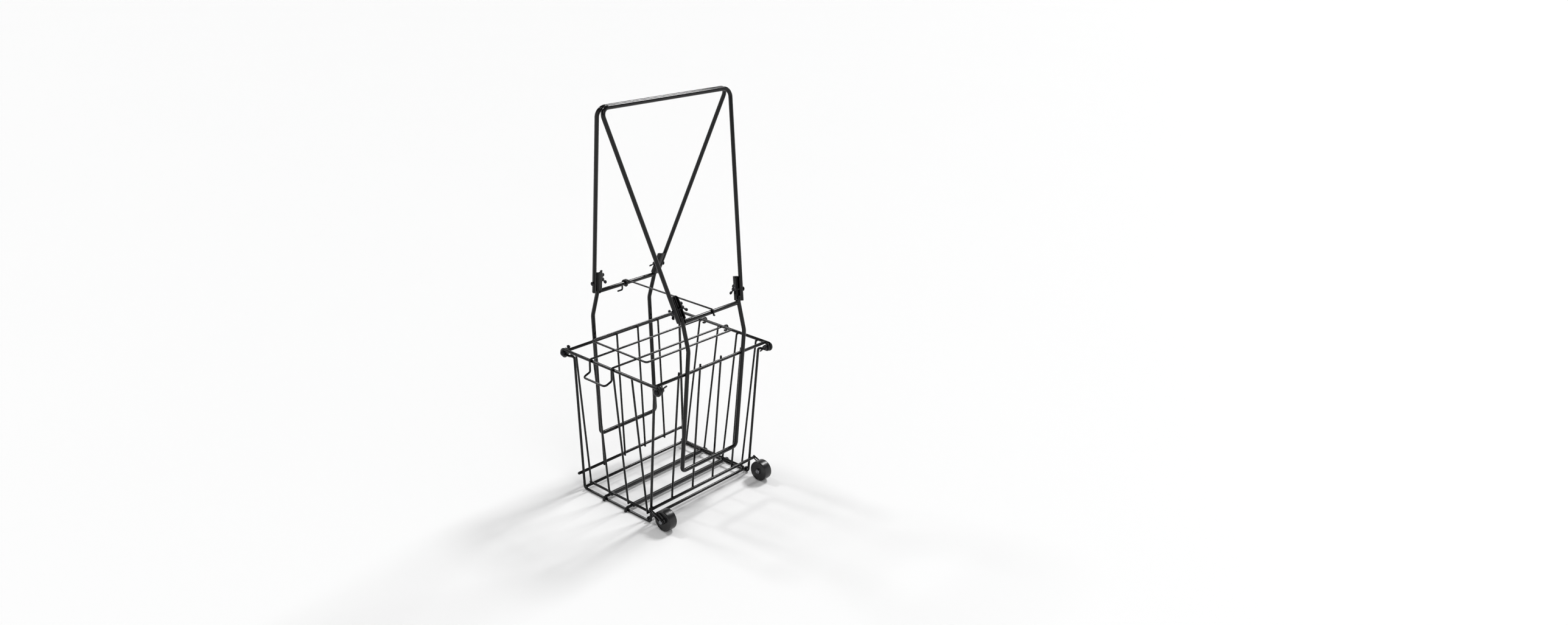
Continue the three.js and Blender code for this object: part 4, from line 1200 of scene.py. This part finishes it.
def piece(solid, draw, turn=AS_DRAWN, body="basket", slot="powder_coat", origin=None, finish=None):
    """Draws a piece, gives it its finish, and puts it on its body in place of its solid.

    A piece with an origin is drawn about that place, and keeps it as its own. Weld spots
    have no solid."""
    mesh = bmesh.new()
    draw(mesh)
    bmesh.ops.recalc_face_normals(mesh, faces=mesh.faces)
    mesh.transform(CART_TO_FRAME @ turn if origin is None else Matrix.Scale(MM, 4))
    place = AS_DRAWN if origin is None else origin
    keep_in_box(mesh, place)
    ending, usual_finish = FINISHES[slot]
    name = f"{solid}_{ending}" if solid else "basket_weld_spots"
    made = mesh_into_scene(name, mesh, finish or usual_finish)
    made.data.shade_smooth()
    made.data.set_sharp_from_angle(angle=SHARP_EDGE)
    made.matrix_world = place
    if solid:
        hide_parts(solid)
    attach(made, body)


def basket_end(end, first_corner, turn):
    for name, draw in (("frame_wire", end_frame_wire), ("rim_rod", end_rim), ("cross_rod", cross_rod)):
        piece(f"{end}_{name}", draw, turn)
    for index in range(len(END_WIRE_FOOT_PLACES)):
        piece(f"{end}_wire_{index + 1}", partial(end_wire, index=index), turn)
    for number, side in enumerate((-1, 1), first_corner):
        nut = f"corner_wing_nut_{number}"
        piece(f"corner_bolt_{number}", partial(corner_bolt, side=side), turn, slot="black_steel")
        piece(nut, partial(corner_wing_nut, side=side), turn, nut, "black_steel")


def basket_side(side, rail, turn):
    for name, draw in (("rim_rod", side_rim), ("rail", rail), ("floor_rod", floor_rod)):
        piece(f"{side}_{name}", draw, turn)
    for index in range(len(SIDE_WIRE_PLACES)):
        piece(f"{side}_wire_{index + 1}", partial(side_wire, index=index), turn)


def basket_floor():
    for number, side in enumerate((-1, 1), 1):
        sleeve = f"roller_sleeve_{number}"
        piece(f"floor_bar_{number}", partial(floor_bar, side=side))
        piece(sleeve, partial(roller_sleeve, side=side), body=sleeve, slot="sleeve_plastic")


def wheel_set(name, end):
    """The wheel's own origin is its centre, so that its wear follows the tread."""
    centre = CART_TO_FRAME @ Vector((end * WHEEL_HALF_TRACK, -WHEEL_REACH, WHEEL_RADIUS))
    at = Matrix.Translation(centre) @ Matrix.Rotation(end * pi / 2, 4, "Y")
    piece(name, wheel_shape, body=name, slot="wheel_plastic", origin=at)
    piece(f"{name}_bolt", axle_shape, slot="black_steel", origin=at, finish=WHEEL_BOLT_FINISH)


def hinged_frame(side, first_clamp, turn):
    body = f"{side}_frame"
    for name, draw in (("leg_frame", leg_frame), ("crossbar", crossbar), ("handle_loop", handle_loop)):
        piece(f"{side}_{name}", draw, turn, body)
    for number, end in enumerate((-1, 1), first_clamp):
        nut = f"clamp_wing_nut_{number}"
        piece(f"clamp_bolt_{number}", partial(clamp_bolt, end=end), turn, body, "black_steel")
        piece(nut, partial(clamp_wing_nut, end=end), turn, nut, "black_steel")


basket_end("latch_end", 1, HALF_TURN)
basket_end("hinge_end", 3, AS_DRAWN)
basket_side("wheel_side", wheel_side_rail, HALF_TURN)
basket_side("plain_side", lower_rail, AS_DRAWN)
basket_floor()
piece(None, basket_welds)
wheel_set("latch_end_wheel", -1)
wheel_set("hinge_end_wheel", 1)
hinged_frame("wheel_side", 1, HALF_TURN)
hinged_frame("plain_side", 3, AS_DRAWN)
piece("tie_rod", tie_rod, body="tie_rod")
piece("lid", lid, body="lid")


# Floor, light and camera


def white_floor():
    """A wide white board, matt with a trace of cloudiness, under the cart."""
    material, node, at = new_material("painted_board_matt_white")
    cloud = node("TexNoise", {"Scale": per_metre(600), "Detail": 2}, at)
    colour = node("Mix", between("#fefefe", "#ffffff"), {"Factor": (cloud, "Fac")})
    shader = node("BsdfPrincipled", {"Roughness": 0.7}, {"Base Color": (colour, "Result")})
    node("OutputMaterial", None, {"Surface": (shader, "BSDF")})
    mesh = bmesh.new()
    bmesh.ops.create_grid(mesh, x_segments=4, y_segments=4, size=FLOOR_HALF_SIZE)
    board = mesh_into_scene("studio_floor", mesh, material)


def sun(name, toward, strength, spread):
    """A soft sun, so that the floor is evenly lit out to its edges."""
    data = bpy.data.lights.new(name, "SUN")
    data.energy = strength
    data.angle = radians(spread)
    into_scene(name, data).rotation_euler = Vector(toward).to_track_quat("Z", "Y").to_euler()


def studio_light():
    """White walls that dim toward the ceiling, and three soft suns. A colour shows about as written."""
    world = bpy.data.worlds.new("studio_air")
    world.use_nodes = True
    where = add(world, "TexCoord")
    split = add(world, "SeparateXYZ", None, {"Vector": (where, "Generated")})
    fall = {"From Min": WALL_TOP, "From Max": CEILING_FROM, "To Min": 1, "To Max": CEILING_STRENGTH}
    dim = add(world, "MapRange", fall, {"Value": (split, "Z")})
    background = world.node_tree.nodes["Background"]
    background.inputs["Color"].default_value = linear("#ffffff")
    world.node_tree.links.new(dim.outputs["Result"], background.inputs["Strength"])
    bpy.context.scene.world = world
    sun("right_sun", toward=(0.655, 0, 0.755), strength=1.85, spread=14)
    sun("back_sun", toward=(-0.1, 0.67, 0.735), strength=0.75, spread=9)
    sun("front_sun", toward=(-0.3, -0.8, 0.9), strength=0.4, spread=25)


def studio_camera():
    """The photograph's own viewpoint, solved from the cart's wires, bolts and wheels."""
    azimuth, height, roll = map(radians, (CAMERA_AZIMUTH, CAMERA_ELEVATION, CAMERA_ROLL))
    level = cos(height)
    back = Vector((sin(azimuth) * level, -cos(azimuth) * level, sin(height)))
    right = Vector((cos(azimuth), sin(azimuth), 0))
    up = back.cross(right)
    right_rolled = right * cos(roll) + up * sin(roll)
    up_rolled = up * cos(roll) - right * sin(roll)
    data = bpy.data.cameras.new("photo_camera")
    data.sensor_fit = "HORIZONTAL"
    data.sensor_width = CAMERA_SENSOR
    data.lens = CAMERA_LENS
    data.clip_end = CAMERA_REACH
    camera = into_scene("photo_camera", data)
    turn = Matrix((right_rolled, up_rolled, back)).transposed().to_4x4()
    camera.matrix_world = Matrix.Translation(CAMERA_PLACE) @ turn
    bpy.context.scene.camera = camera


white_floor()
studio_light()
studio_camera()
bpy.context.scene.view_settings.view_transform = "Standard"
